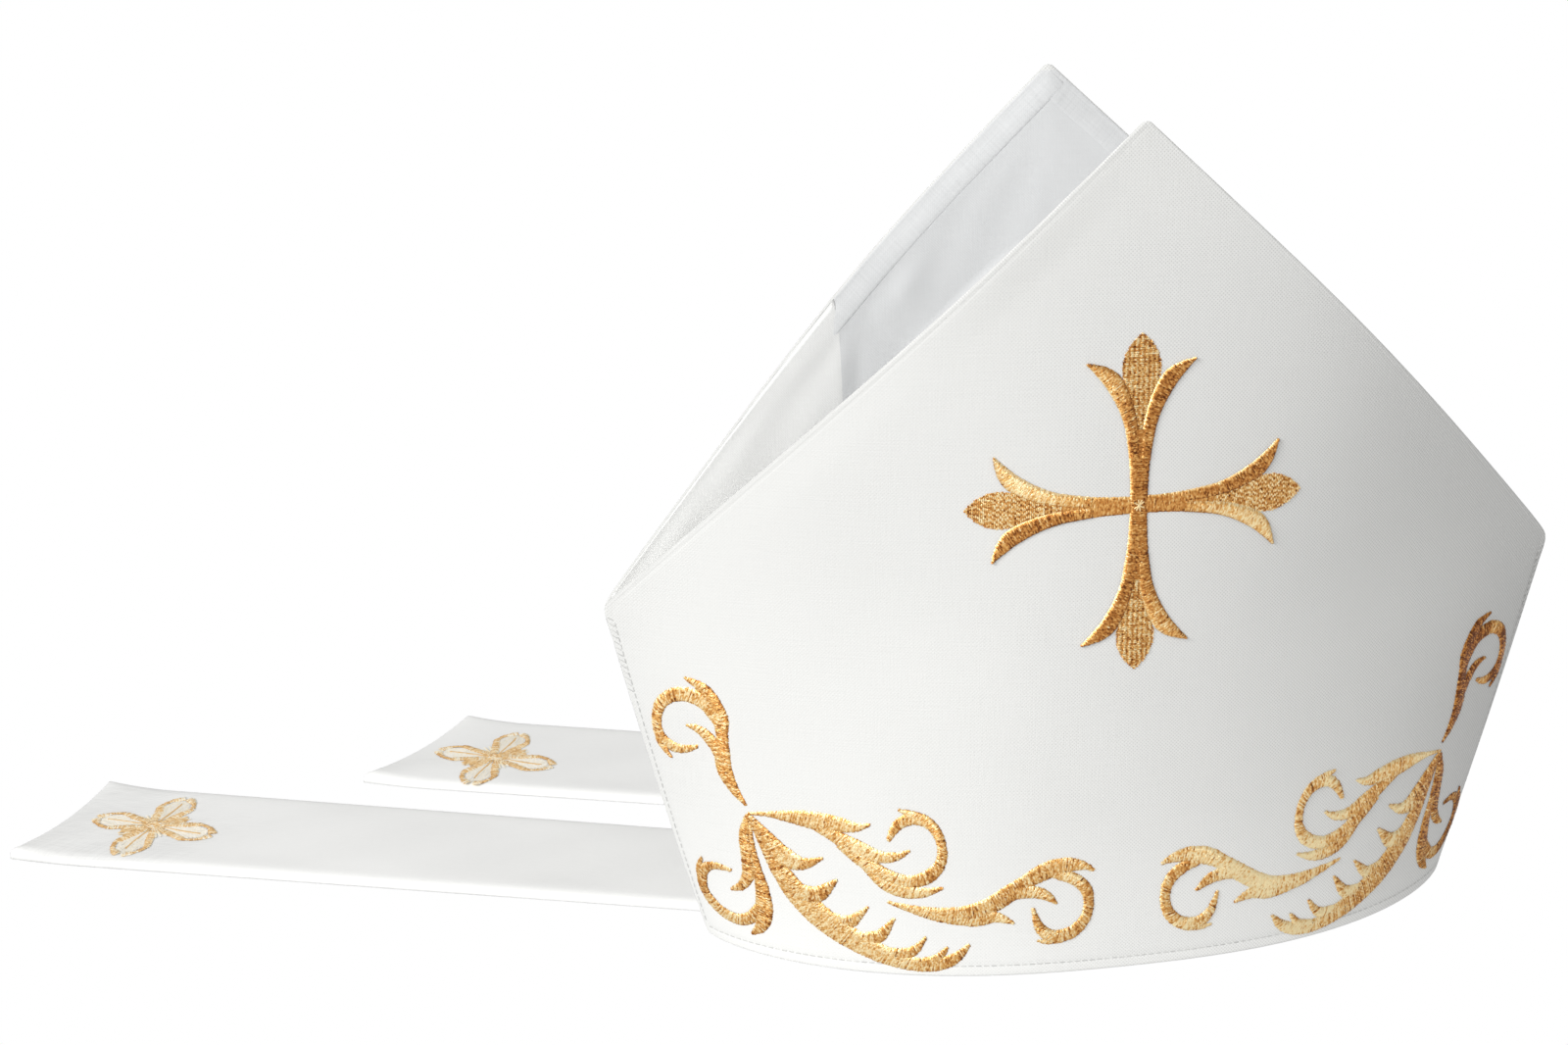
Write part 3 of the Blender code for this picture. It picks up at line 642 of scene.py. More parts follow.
def smooth_knots(knots, step):
    """Rows about a step apart on the Catmull-Rom curve through rows of numbers."""
    rows = [np.array(knot, float) for knot in knots]
    rows = [2 * rows[0] - rows[1]] + rows + [2 * rows[-1] - rows[-2]]
    points = []
    for a, b, c, d in zip(rows, rows[1:], rows[2:], rows[3:]):
        count = max(1, round(float(np.hypot(*(c - b)[:2])) / step))
        t = (np.arange(count) / count)[:, None]
        points.append(b + 0.5 * t * (c - a + t * (2 * a - 5 * b + 4 * c - d + t * (3 * (b - c) + d - a))))
    return np.concatenate(points + [rows[-2][None]])


def even_rows(rows, step):
    """The same line with rows exactly a step apart."""
    run = distances(np.hypot(*np.diff(rows[:, :2], axis=0).T))
    places = np.arange(0, run[-1], step)
    return np.stack([np.interp(places, run, rows[:, i]) for i in range(rows.shape[1])], axis=1)


def directions(rows):
    """Unit vectors square to a line of rows and along it."""
    ahead = unit(np.gradient(rows[:, :2], axis=0))
    return np.stack([-ahead[:, 1], ahead[:, 0]], axis=1), ahead


STITCH_PITCH = 0.44
STITCH_WIDTH = 0.58
GRAIN_LENGTH = 0.6
GRAINS = (3, 15)
# Painted highlight: metallic thread is painted palest where it lies this way on the cloth, and on flanks
# that face the light; far flanks get a painted shade
PAINTED_SHINE_WAY = np.array([math.cos(math.radians(57)), math.sin(math.radians(57))])
BRIGHT_SIDE = np.array([-0.8, 0.6])
PAINTED_DARK_FLANK = 0.25


def satin(start, end, height, base, tone, grain=0.2, gleam=0.32, glint=0.3):
    """One stitch from edge to edge over a domed underlay, uneven and grained as metallic thread is, with
    painted highlights and shade.
    """
    length = math.dist(start, end)
    way = (end - start) / max(length, 1e-6)
    share = np.linspace(0, 1, int(np.clip(round(length / GRAIN_LENGTH), *GRAINS)) + 1)
    across = 2 * share - 1
    line = start + (end - start) * share[:, None]
    dome = np.maximum(1 - np.abs(across) ** 3.5, 0) ** 0.5
    lift = base + height * dome + RANDOM.normal(0, 0.04, len(share))
    # Painted highlight by the stitch's way and on the flank towards the light, painted shade on the far
    # flank
    shade = tone + RANDOM.normal(0, grain, len(share)) + gleam * abs(way @ PAINTED_SHINE_WAY) ** 9
    facing = np.sign(across) * (way @ BRIGHT_SIDE)
    shade += np.abs(across) ** 8 * np.where(facing > 0, glint * facing, -PAINTED_DARK_FLANK)
    return line, lift, STITCH_WIDTH, np.clip(shade, 0, 1)


def dome_height(width):
    return np.minimum(0.26 + 0.055 * np.asarray(width), 0.62)


STROKE_TONE = 0.55
TONE_SPREAD = 0.15
RAGGED = (-0.12, 0.16)
# Distances round the front over which the thread gets a painted gleam, then a painted shade, then a deeper
# painted shade
PAINTED_GLEAM_RUN = (5, 45)
PAINTED_SHADE_RUN = (55, 105)
PAINTED_DARK_RUN = (110, 136)


def stroke_stitches(knots, base):
    """Satin stitches side by side along one stroke of a scroll, a little slanted."""
    rows = even_rows(smooth_knots(knots, 1.0), STITCH_PITCH)
    runs = []
    for row, square, forward in zip(rows, *directions(rows)):
        half = max(row[2], 0.8) / 2
        slant = forward * min(half, 1.6) * 0.35
        a = row[:2] - square * (half + RANDOM.uniform(*RAGGED)) - slant
        b = row[:2] + square * (half + RANDOM.uniform(*RAGGED)) + slant
        # Painted highlight towards the right of the front, painted shade further round where the cloth
        # turns from the light
        right = ease(*PAINTED_GLEAM_RUN, row[0])
        shade = STROKE_TONE + 0.08 * right - 0.10 * ease(*PAINTED_SHADE_RUN, row[0])
        shade = RANDOM.normal(shade - 0.54 * ease(*PAINTED_DARK_RUN, row[0]), TONE_SPREAD)
        dome = dome_height(row[2])
        runs.append(satin(a, b, dome, base, shade, grain=0.22, gleam=0.24 + 0.3 * right))
    return runs


UNDERLAY_SHARES = np.array([-1.0, -0.8, -0.4, 0.0, 0.4, 0.8, 1.0])
UNDERLAY_PITCH = 1.2
UNDERLAY_INSET = 0.9
UNDERLAY_DROP = 0.12


def underlay_object(name, strokes, place, look, height=1.0):
    """A low dome of packed thread under each stroke, so that no cloth shows between the stitches."""
    strips = []
    for knots in strokes:
        rows = even_rows(smooth_knots(knots, 1.0), UNDERLAY_PITCH)
        rows = np.concatenate([rows, [np.array(knots[-1], float)]])
        side, _ = directions(rows)
        wide = np.maximum(rows[:, 2] - UNDERLAY_INSET, 0.3)[:, None, None] / 2
        flat = rows[:, None, :2] + side[:, None] * wide * UNDERLAY_SHARES[None, :, None]
        dome = np.sqrt(1 - UNDERLAY_SHARES**2 * 0.995) * (dome_height(rows[:, 2:]) - UNDERLAY_DROP)
        strips.append(np.dstack([flat, dome * height]))
    tones = RANDOM.uniform(0.2, 0.8, sum(strip[..., 0].size for strip in strips))
    return strips_object(name, strips, tones, place, look)


def on_panel(side):
    return lambda x, y, out: WALLS[side].place(x, y, out + relief_at(side, x, y))


on_front = on_panel("front")

for side, way in (("left", -1), ("right", 1)):
    for name, strokes in (("curl", CURL), ("spray", SPRAY), ("scroll", SCROLL)):
        strokes = [[(x * way, z, width) for x, z, width in knots] for knots in strokes]
        runs = []
        for order, knots in enumerate(strokes):
            # Strokes that cross lie at different heights
            runs += stroke_stitches(knots, 0.1 + 0.05 * (order % 4))
        made = thread_object(f"{name}_{side}_stitches", runs, on_front, GOLD)
        piece(made, "gold_thread", f"{name}_{side}")
        piece(underlay_object(f"{name}_{side}_underlay", strokes, on_front, GOLD_CORE), "gold_thread")

# ---- the main cross

CROSS_PITCH = 0.38
CROSS_TONE = 0.29
# The threads across a centre leaf, and the columns that they are couched in
LEAF_PITCH = 0.58
COLUMN = 1.6


def turned(points, quarter):
    """Points turned about the cross's centre by quarter turns."""
    c = round(math.cos(quarter * math.pi / 2))
    s = round(math.sin(quarter * math.pi / 2))
    x, y = np.moveaxis(np.asarray(points, float), -1, 0)
    return np.stack([x * c - y * s, x * s + y * c], axis=-1)


def ray(angle, start, end, count):
    return np.linspace(start, end, count)[:, None] * (math.cos(angle), math.sin(angle))


def even_pairs(pairs, step):
    """A leaf's pairs of border points, at even steps along the line midway between them."""
    rows = np.array([[*a, *b] for a, b in pairs], float)
    middle = (rows[:, :2] + rows[:, 2:]) / 2
    smooth = smooth_knots(np.hstack([middle, rows]), 1.0)
    return even_rows(smooth, step)[:, 2:]


def shaft_stitches(quarter):
    lift = 0.40 if quarter % 2 else 0.15
    runs = []
    for x, _, half in even_rows(smooth_knots([(x, 0.0, w) for x, w in SHAFT], 1.0), CROSS_PITCH):
        a = turned((x - 0.2, -half - RANDOM.uniform(-0.05, 0.15)), quarter)
        b = turned((x + 0.2, half + RANDOM.uniform(-0.05, 0.15)), quarter)
        tone = RANDOM.normal(CROSS_TONE, 0.07)
        runs.append(satin(a, b, 0.50, lift, tone, grain=0.15, gleam=0.32, glint=0.8))
    return runs


def side_leaf_stitches(quarter, way):
    runs = []
    for ox, oy, ix, iy in even_pairs(SIDE_LEAF, CROSS_PITCH):
        jitter = RANDOM.uniform(-0.12, 0.12, 2)
        a = turned((ox + jitter[0], oy * way), quarter)
        b = turned((ix + jitter[1], iy * way), quarter)
        tone = RANDOM.normal(CROSS_TONE, 0.09)
        runs.append(satin(a, b, 0.62, 0.42, tone, grain=0.2, gleam=0.5, glint=0.8))
    return runs


def centre_leaf_stitches(quarter):
    """Threads across an arm, couched in columns on the upright arms and at random on the others."""
    runs = []
    places, halves = np.array(CENTRE_LEAF).T
    for x in np.arange(places[0], places[-1], LEAF_PITCH):
        half = np.interp(x, places, halves) + RANDOM.uniform(-0.1, 0.2)
        y = np.linspace(-half, half, max(3, int(half / 0.2)))
        phase = 0.5 + RANDOM.uniform(-0.09, 0.09) if quarter % 2 else RANDOM.uniform(0, 1)
        arch = np.abs(np.sin(np.pi * (y / COLUMN + phase)))
        high = 0.16 + 0.22 * arch + 0.12 * (1 - (y / 6.5) ** 2)
        line = np.stack([x + RANDOM.normal(0, 0.04, len(y)), y], axis=1)
        # Tone is highest on the humps of the couched threads, a painted highlight, and lowest between the
        # columns, a painted shade
        shade = 0.32 + 0.52 * arch**2 + RANDOM.normal(0, 0.24, len(y)) + RANDOM.normal(0, 0.08)
        runs.append((turned(line, quarter), high, 0.5, np.clip(shade, 0, 1)))
    return runs


def cross_runs():
    # Four bright threads lie over the centre
    high = 1.06 + 0.1 * np.cos(np.linspace(-1.5, 1.5, 6))
    runs = [(ray(a, -1.9, 1.9, 6), high, 0.4, np.full(6, 0.85)) for a in np.radians((35, 62, 100, 150))]
    for quarter in range(4):
        runs += shaft_stitches(quarter) + centre_leaf_stitches(quarter)
        for way in (1, -1):
            runs += side_leaf_stitches(quarter, way)
    return [(line + (0, CROSS_HEIGHT), lift, width, tone) for line, lift, width, tone in runs]


def on_axis(rows):
    """A stroke along an arm's middle line, from distances out and half widths."""
    return [(x, 0.0, 2 * half) for x, half in rows]


def side_leaf_stroke(way):
    """A side leaf as a stroke midway between its borders."""
    return [
        ((ox + ix) / 2, (oy + iy) / 2 * way, math.dist((ox, oy), (ix, iy)))
        for (ox, oy), (ix, iy) in SIDE_LEAF
    ]


def all_arms(strokes):
    """One arm's strokes on all four arms, at the cross's place on the panel."""
    moved = []
    for quarter in range(4):
        for knots in strokes:
            rows = np.array(knots)
            spots = turned(rows[:, :2], quarter) + (0, CROSS_HEIGHT)
            moved.append(np.hstack([spots, rows[:, 2:]]))
    return moved


cross = thread_object("front_cross_stitches", cross_runs(), on_front, GOLD)
piece(cross, "gold_thread", "front_cross")
domes = all_arms([on_axis(SHAFT), side_leaf_stroke(1), side_leaf_stroke(-1)])
piece(underlay_object("front_cross_underlay", domes, on_front, GOLD_CORE), "gold_thread")
base = all_arms([on_axis(CENTRE_LEAF)])
piece(underlay_object("front_cross_leaf_base", base, on_front, GOLD_CORE, 0.3), "gold_thread")

# ---- the gusset and the folded facings

# The visible webs reach from the corners to this far round from the middle line
WEB_EDGE = 77.5
WEB_SHARE = WEB_EDGE / CORNER_ARC
FACING_WIDTH = 9.6
FACING_TUCK = 8.0
FACING_ROWS = 68
# Shares of a strip's width that have points, and the share that its fold takes
FACING_SHARES = (0.02, 0.05, 0.12, 0.25, 0.4, 0.55, 0.7, 0.82, 0.91, 0.96, 0.99, 1.0)
FOLD_SHARE = 0.12
# Painted shade on the strips towards the peak
FACING_PAINTED_SHADE = 0.16
# The strips' weave runs along the cut edge, which goes this way round the cloth and up
FACING_GRAIN = (0.736, 0.677)
FACING_SHIFT = 400

GUSSET_REACH = 0.98
GUSSET_CLOTH = 0.25
GUSSET_SLACK = 10.0
GUSSET_COLUMNS = 190
GUSSET_SHIFT = 300
VALLEY_RISE = 8.0
# Rows of points where the cloth hugs a panel, and where it falls from there to the valley
HUG_ROWS = 16
FALL_ROWS = 26
LINING_HUG = {"front": 10.0, "back": 28.0}


def facing_strip(side, way, order):
    """One folded strip inside the cut edge, from under the web to the peak."""
    edge = np.array([CORNER_ARC, RISE]) / CUT_LENGTH
    square = np.array([RISE, -CORNER_ARC]) / CUT_LENGTH
    share, run = np.meshgrid(FACING_SHARES, np.linspace(1 - WEB_SHARE - 0.09, 1.0, FACING_ROWS))
    distance = share * FACING_WIDTH
    start = (CORNER_ARC - WEB_EDGE - FACING_TUCK - distance * square[0]) / edge[0]
    # The upper strip ends at the other cut edge, the lower one a little past the middle line
    end = CUT_LENGTH - distance * RISE / CORNER_ARC + 3.0
    if order:
        end = CUT_LENGTH + distance * (CORNER_ARC**2 - RISE**2) / (2 * RISE * CORNER_ARC) - 0.7
    run = np.clip(run * CUT_LENGTH, start, end)
    around = -CORNER_ARC + edge[0] * run + square[0] * distance
    if not order:
        around = np.minimum(around, 2.5)
    height = np.minimum(CORNER_HEIGHT + edge[1] * run + square[1] * distance, PEAK_HEIGHT - 3)
    limit = np.maximum(outline(side, height) - 0.5, 0.05)
    around = np.clip(around, -limit, np.maximum(limit - 0.9, 0.05)) * way
    fold = np.clip((share - (1 - FOLD_SHARE)) / FOLD_SHARE, 0, 1)
    lip = np.sqrt(np.maximum(1 - fold**2, 0))
    lip[0] = lip[-1] = lip[:, 0] = 0
    puff = 0.04 * share * (1 + np.sin(height / 8.3 + 2.0 * order))
    lift = 0.04 + (0.27 + 0.07 * order + puff) * ease(0, 6, cut_distance(around, height))
    lift *= ease(WEB_EDGE + FACING_TUCK, WEB_EDGE - 3, np.abs(around))
    depth = cloth_depth(around, height) + 0.03
    inside = WALLS[side].place(around, height, -depth - lift * lip)
    against = WALLS[side].place(around, height, -depth)
    along = around * way * FACING_GRAIN[0] + height * FACING_GRAIN[1]
    uv = np.stack([along + FACING_SHIFT, distance], axis=-1)
    label = "left" if way > 0 else "right"
    # Painted shade: the strips are painted darker towards the peak
    tones = FACING_PAINTED_SHADE * ease(CORNER_HEIGHT + 0.3 * RISE, CORNER_HEIGHT + 0.75 * RISE, height)
    made = shell(f"{side}_facing_{label}", inside, against, uv, FOLDED, tones)
    return piece(made, "white_cloth")


facings = [facing_strip(side, way, order) for side in OUTWARD for order, way in ((1, 1), (0, -1))]


def back_folds(around, fall):
    """How far the back's lining stands off the panel, by its fall below the facing.

    It is pulled tight beside the corners, and breaks into a pocket and a ridge before it hangs evenly.
    """
    tight = 1.8 * ease(-168, -100, around) * ease(8 - WEB_EDGE, -2 - WEB_EDGE, around) * ease(0.5, 22, fall)
    ridge = 1.0 * bell(around + 56 - 0.35 * fall, 6.5) * ease(0, 12, fall)
    crease = 0.4 * bell(around + 66 - 0.5 * fall, 2.0) * ease(2, 8, fall)
    other = 1.8 * ease(166, 100, around) * ease(WEB_EDGE - 8, WEB_EDGE + 2, around) * ease(0.5, 22, fall)
    other += 1.2 * bell(around - 58, 8) * ease(0, 9, fall)
    return (tight + ridge + crease + other) * ease(110, 45, fall)


def lining_line(side, lane):
    """One line of the gusset's cloth: down the inside of a panel, then across to the valley.

    The lane is its place, from -1 at the left corner to 1 at the right one.
    """
    wall = WALLS[side]
    around = CORNER_ARC * lane
    edge = CORNER_HEIGHT + (1 - abs(lane)) * RISE
    drop = FACING_WIDTH * CUT_LENGTH / CORNER_ARC
    # A web starts at the edge, the rest of the cloth behind the facing
    top = edge - (0.6 if abs(lane) > WEB_SHARE else drop - 4)
    band = 0.5 + (drop - 0.5) * ease(WEB_SHARE + 0.3, WEB_SHARE + 0.02, abs(lane))
    valley_height = CORNER_HEIGHT + VALLEY_RISE * (1 - lane * lane)
    valley = np.array([half_width(CORNER_HEIGHT) * lane, 0, valley_height])
    # The cloth leaves the panel along a line that is rounded below the peak
    round_edge = CORNER_HEIGHT + (1 - math.hypot(lane, 0.1)) * RISE
    leave = min(round_edge - band - 0.7, top - 0.5)
    leave -= min(LINING_HUG[side], 0.45 * max(leave - valley_height, 0))
    heights = np.linspace(top, leave, HUG_ROWS)
    limit = wall.seam(heights) - 1.9
    across = np.clip(around, -limit, limit)
    depth = cloth_depth(across, heights) + 0.04 + GUSSET_CLOTH / 2
    in_web = ease(WEB_SHARE, WEB_SHARE + 0.09, abs(lane))
    depth += 0.32 * in_web * ease(0.4, 6, cut_distance(across, heights))
    hug = wall.place(across, heights, -depth)
    share = (np.linspace(0, 1, FALL_ROWS + 1)[1:] ** 1.2)[:, None]
    free = hug[-1] + (valley - hug[-1]) * share
    free[:, 2] -= GUSSET_SLACK * np.sin(np.pi * share[:, 0]) * (1 - lane * lane)
    line = np.concatenate([hug, free])
    run = distances(np.linalg.norm(np.diff(line, axis=0), axis=1))
    fall = run - (top - (edge - band))
    ripple = 1 + np.sin(fall / 11 + around / 17) * np.sin(around / 7.1 + fall / 23)
    off = 0.25 * ripple * ease(0, 12, fall)
    if side == "back":
        off += back_folds(around, fall)
    else:
        off += 3.0 * bell(around - 40, 14) * ease(0, 12, fall) * ease(110, 45, fall)
    line[:, 1] -= OUTWARD[side] * off * ease(0, 12, run[-1] - run)
    line[:, 1] = OUTWARD[side] * np.maximum(OUTWARD[side] * line[:, 1], 0)
    return line


def gusset_cloth():
    reach = np.linspace(-1, 1, GUSSET_COLUMNS + 1)
    # Columns crowd at the edge of the web, where the cloth turns sharply
    reach -= 0.03 * np.sin(np.pi * np.clip((reach + WEB_SHARE) / 0.25, -1, 1))
    lanes = GUSSET_REACH * reach
    lines = [(lining_line("front", lane), lining_line("back", lane)) for lane in lanes]
    sheet = np.array([np.concatenate([front, back[-2::-1]]) for front, back in lines])
    up = unit(np.cross(np.gradient(sheet, axis=0), np.gradient(sheet, axis=1)))
    if up[len(up) // 2, up.shape[1] // 2, 2] < 0:
        up = -up
    # The two faces meet along the borders
    thick = np.zeros((*sheet.shape[:2], 1))
    thick[1:-1, 1:-1] = GUSSET_CLOTH / 2
    run = distances(np.linalg.norm(np.diff(sheet, axis=1), axis=-1))
    run -= run[:, HUG_ROWS + FALL_ROWS].copy()[:, None]
    arc = np.broadcast_to(CORNER_ARC * lanes[:, None], run.shape)
    uv = np.stack([arc + PANEL_SHIFT, run + GUSSET_SHIFT], axis=-1)
    made = shell("crown_gusset_cloth", sheet + up * thick, sheet - up * thick, uv, LINING)
    made.data.materials.append(SMOOTH)
    places = made.data.uv_layers["cloth"].data
    for face in made.data.polygons:
        around = places[face.loop_start].uv[0] * CLOTH_UNIT - PANEL_SHIFT
        face.material_index = int(abs(around) > WEB_EDGE)
    return piece(made, "gusset_cloth", "crown_gusset")


gusset = gusset_cloth()

# ---- the lappets

RIM_GAP = 0.45
END_CORNER = 2.2
END_HOLLOW = 1.5
BAND_ROUNDING = 4.0
# Distances in from a band's edges and free end at which its rounding has points
BAND_STEPS = np.array([0, 0.12, 0.4, 0.8, 1.3, 1.9, 2.8])
BAND_SHIFT = {"left": 200, "right": 300}
# Painted shade on the bands: the near one all over, both towards their free ends
BAND_PAINTED_SHADE = {"left": 0.10, "right": 0.0}
END_PAINTED_SHADE = 0.14


def on_floor(along, across):
    """x and y, last in the array, of points in the lappets' own frame."""
    c, s = math.cos(LAPPET_HEADING), math.sin(LAPPET_HEADING)
    return np.stack([c * along + s * across, s * along - c * across], axis=-1)


def rim_point(x):
    """A spot on the floor, just off the back rim."""
    share = x / half_width(LAPPET_CLOTH)
    before, here, after = (
        np.array(section("back", share + step, LAPPET_CLOTH)) for step in (-0.001, 0, 0.001)
    )
    ahead = after - before
    return here + unit(np.array([-ahead[1], ahead[0]])) * RIM_GAP


def outside_rim(point):
    wide = half_width(LAPPET_CLOTH) + RIM_GAP
    deep = half_depth("back", LAPPET_CLOTH) + RIM_GAP
    bulge = max(1 - abs(point[0] / wide) ** SWELL[0], 0) ** TAPER[0]
    return abs(point[0]) > wide or point[1] > deep * bulge


def lappet_across(name, along, share):
    band = LAPPETS[name]
    flare = np.clip((along - FLARE_START) / (band["near_end"] - FLARE_START), 0, 1)
    return band["middle"] + (2 * share - 1) * (band["root"] + (band["end"] - band["root"]) * flare)


def lappet_end(name, share):
    """How far along the free end is: slanted and slightly hollow, with two rounded corners."""
    band = LAPPETS[name]
    near = np.minimum(share, 1 - share) * 2 * band["end"]
    cut = END_CORNER - np.sqrt(np.maximum(END_CORNER**2 - np.maximum(END_CORNER - near, 0) ** 2, 0))
    hollow = END_HOLLOW * (1 - (2 * share - 1) ** 2)
    return band["near_end"] + 1.6 + (band["far_end"] - band["near_end"]) * share - cut - hollow


def lappet_lift(name, along, share):
    curl = np.clip(1 - (lappet_end(name, share) - along) / END_CURL_LENGTH, 0, 1)
    return END_CURL * curl**2 * (2 * share - 1) ** 2


def lappet_edge(name, to_end, share):
    """How far in from the nearest edge a spot on a lappet is."""
    return np.minimum(np.minimum(share, 1 - share) * 2 * LAPPETS[name]["root"], to_end)


def lappet_waves(name, to_end, share):
    """The low unevenness of a lappet's face, by the distance to its free end."""
    waves = 0.22 * np.sin(to_end / 19 + 3 * share)
    waves += 0.16 * np.sin(to_end / 8.3 - 5 * share) * np.sin(np.pi * share)
    return waves * ease(3, 14, lappet_edge(name, to_end, share))


def left_start(share):
    """How far along a line of the left lappet clears the rim."""
    inside, outside = 0.0, 200.0
    for _ in range(40):
        middle = (inside + outside) / 2
        if outside_rim(on_floor(middle, lappet_across("left", middle, share))):
            outside = middle
        else:
            inside = middle
    return outside


def right_turn(share):
    """A line of the right lappet from the rim to its straight part: a cubic, with a low wave."""
    root = rim_point(RIGHT_ROOT[0] + (RIGHT_ROOT[1] - RIGHT_ROOT[0]) * share)
    goal = on_floor(RIGHT_TURN, lappet_across("right", RIGHT_TURN, share))
    ahead = on_floor(1.0, 0.0)
    turn = min(1, 1.4 * share)
    leave = unit(ahead * (1 - turn) + unit(root) * turn)
    reach = np.linalg.norm(goal - root) * (1 + 0.5 * share)
    t = np.linspace(0, 1, 36, endpoint=False)[:, None]
    line = root * (1 + 2 * t) * (1 - t) ** 2 + leave * reach * t * (1 - t) ** 2
    line = line + goal * t * t * (3 - 2 * t) - ahead * reach * t * t * (1 - t)
    wave = 4.0 * np.sin(math.pi * 2 * t) ** 2 * math.sin(math.pi * share) ** 2
    return np.hstack([line, wave])


def lappet_row(name, share, spaces):
    """One line along a lappet from the rim to its free end, as rows of x, y and lift."""
    start = left_start(share) if name == "left" else RIGHT_TURN
    along = start + (lappet_end(name, share) - start) * spaces
    spots = on_floor(along, lappet_across(name, along, share))
    rows = np.column_stack([spots, lappet_lift(name, along, share)])
    return rows if name == "left" else np.concatenate([right_turn(share), rows])


def lappet_cloth(name):
    width = LAPPETS[name]["root"] * 2
    near = BAND_STEPS / width
    shares = np.concatenate([near, np.linspace(4.5 / width, 1 - 4.5 / width, 20), 1 - near[::-1]])
    length = lappet_end(name, 0.5) - 90
    spaces = np.concatenate([np.linspace(0, 1 - 5 / length, 84), 1 - BAND_STEPS[::-1] / length])
    rows = np.stack([lappet_row(name, share, spaces) for share in shares])
    run = distances(np.linalg.norm(np.diff(rows[..., :2], axis=1), axis=-1))
    share = np.repeat(shares[:, None], rows.shape[1], axis=1)
    to_end = run[:, -1:] - run
    # The padded band is flat below and rounded over its edges, and its faces meet at the root
    swell = rounded(lappet_edge(name, to_end, share), BAND_ROUNDING) / BAND_ROUNDING
    low = 0.3 * rows[..., 2]
    top = low + (LAPPET_CLOTH + 0.7 * rows[..., 2]) * swell + lappet_waves(name, to_end, share)
    top = np.where(run < 1e-6, low, top)
    top_side, floor_side = (np.dstack([rows[..., :2], height]) for height in (top, low))
    uv = np.stack([share * width + BAND_SHIFT[name], run], axis=-1)
    # Painted shade: the bands are painted darker towards their free ends, the near one more so
    painted_shade = BAND_PAINTED_SHADE[name] + END_PAINTED_SHADE * ease(110, 10, to_end)
    made = shell(f"lappet_{name}_band", top_side, floor_side, uv, SMOOTH, painted_shade)
    return piece(made, "white_cloth", "lappet_" + name)


bands = {name: lappet_cloth(name) for name in LAPPETS}


def on_lappet(name):
    band = LAPPETS[name]
    centre = CROSS_CENTRE[name]
    c, s = math.cos(CROSS_TURN), math.sin(CROSS_TURN)

    def place(x, y, out):
        along, across = centre[0] + x * c - y * s, centre[1] + x * s + y * c
        share = 0.5 + across / (band["root"] + band["end"])
        spot = on_floor(along, band["middle"] + across)
        waves = lappet_waves(name, lappet_end(name, share) - along, share)
        high = LAPPET_CLOTH + 0.08 + lappet_lift(name, along, share) + waves + out
        return np.concatenate([spot, high[..., None]], axis=-1)

    return place


# Borders of one arm of a lappet's cross: (out, to the side, width) and the tone of their thread
ARM_BORDERS = [
    ([(1.0, 1.4, 2.6), (5.0, 2.6, 3.2), (10.5, 4.3, 3.2), (14.6, 6.0, 2.8), (16.6, 6.4, 1.8)], 0.45),
    ([(15.6, 6.4, 1.6), (18.6, 5.7, 1.7), (21.4, 4.2, 1.8), (23.4, 2.2, 2.0)], 0.3),
    ([(20.6, 4.2, 1.2), (22.6, 2.6, 3.0), (24.0, 0.6, 3.0)], 0.62),
]
ARM_SPINE = [(3.0, 0.0, 1.0), (10.0, 0.3, 1.1), (16.0, 0.4, 0.8), (19.5, 0.2, 0.6)]
ARM_PITCH = 0.42
FILLING_PITCH = 0.52


def lappet_arm(quarter):
    """One flared and pointed arm: bordered, lightly filled with cream thread and veined."""
    runs = []
    for way in (1, -1):
        for knots, tone in ARM_BORDERS:
            knots = [(*turned((x, y * way), quarter), width) for x, y, width in knots]
            rows = even_rows(smooth_knots(knots, 0.8), ARM_PITCH)
            for row, square in zip(rows, directions(rows)[0]):
                reach = square * (row[2] / 2 + RANDOM.uniform(-0.2, 0.25))
                shade = RANDOM.normal(tone, 0.16)
                runs.append(satin(row[:2] - reach, row[:2] + reach, 0.3, 0.12, shade, 0.16, 0.2))
    for y in np.arange(-5.2, 5.3, FILLING_PITCH):
        start = max(3.0, 1.7 * abs(y) + 4.0)
        end = 21.8 - 0.35 * abs(y) - max(abs(y) - 3.2, 0) * 2.2
        if end - start > 2:
            line = np.stack([np.linspace(start, end, 9), y + RANDOM.normal(0, 0.08, 9)], axis=1)
            runs.append((turned(line, quarter), np.full(9, 0.16), 0.56, RANDOM.uniform(0.9, 1.0, 9)))
    spine = smooth_knots([(*turned((x, y), quarter), width) for x, y, width in ARM_SPINE], 1.0)
    runs.append((spine[:, :2], np.full(len(spine), 0.36), 0.9, np.full(len(spine), 0.4)))
    return runs


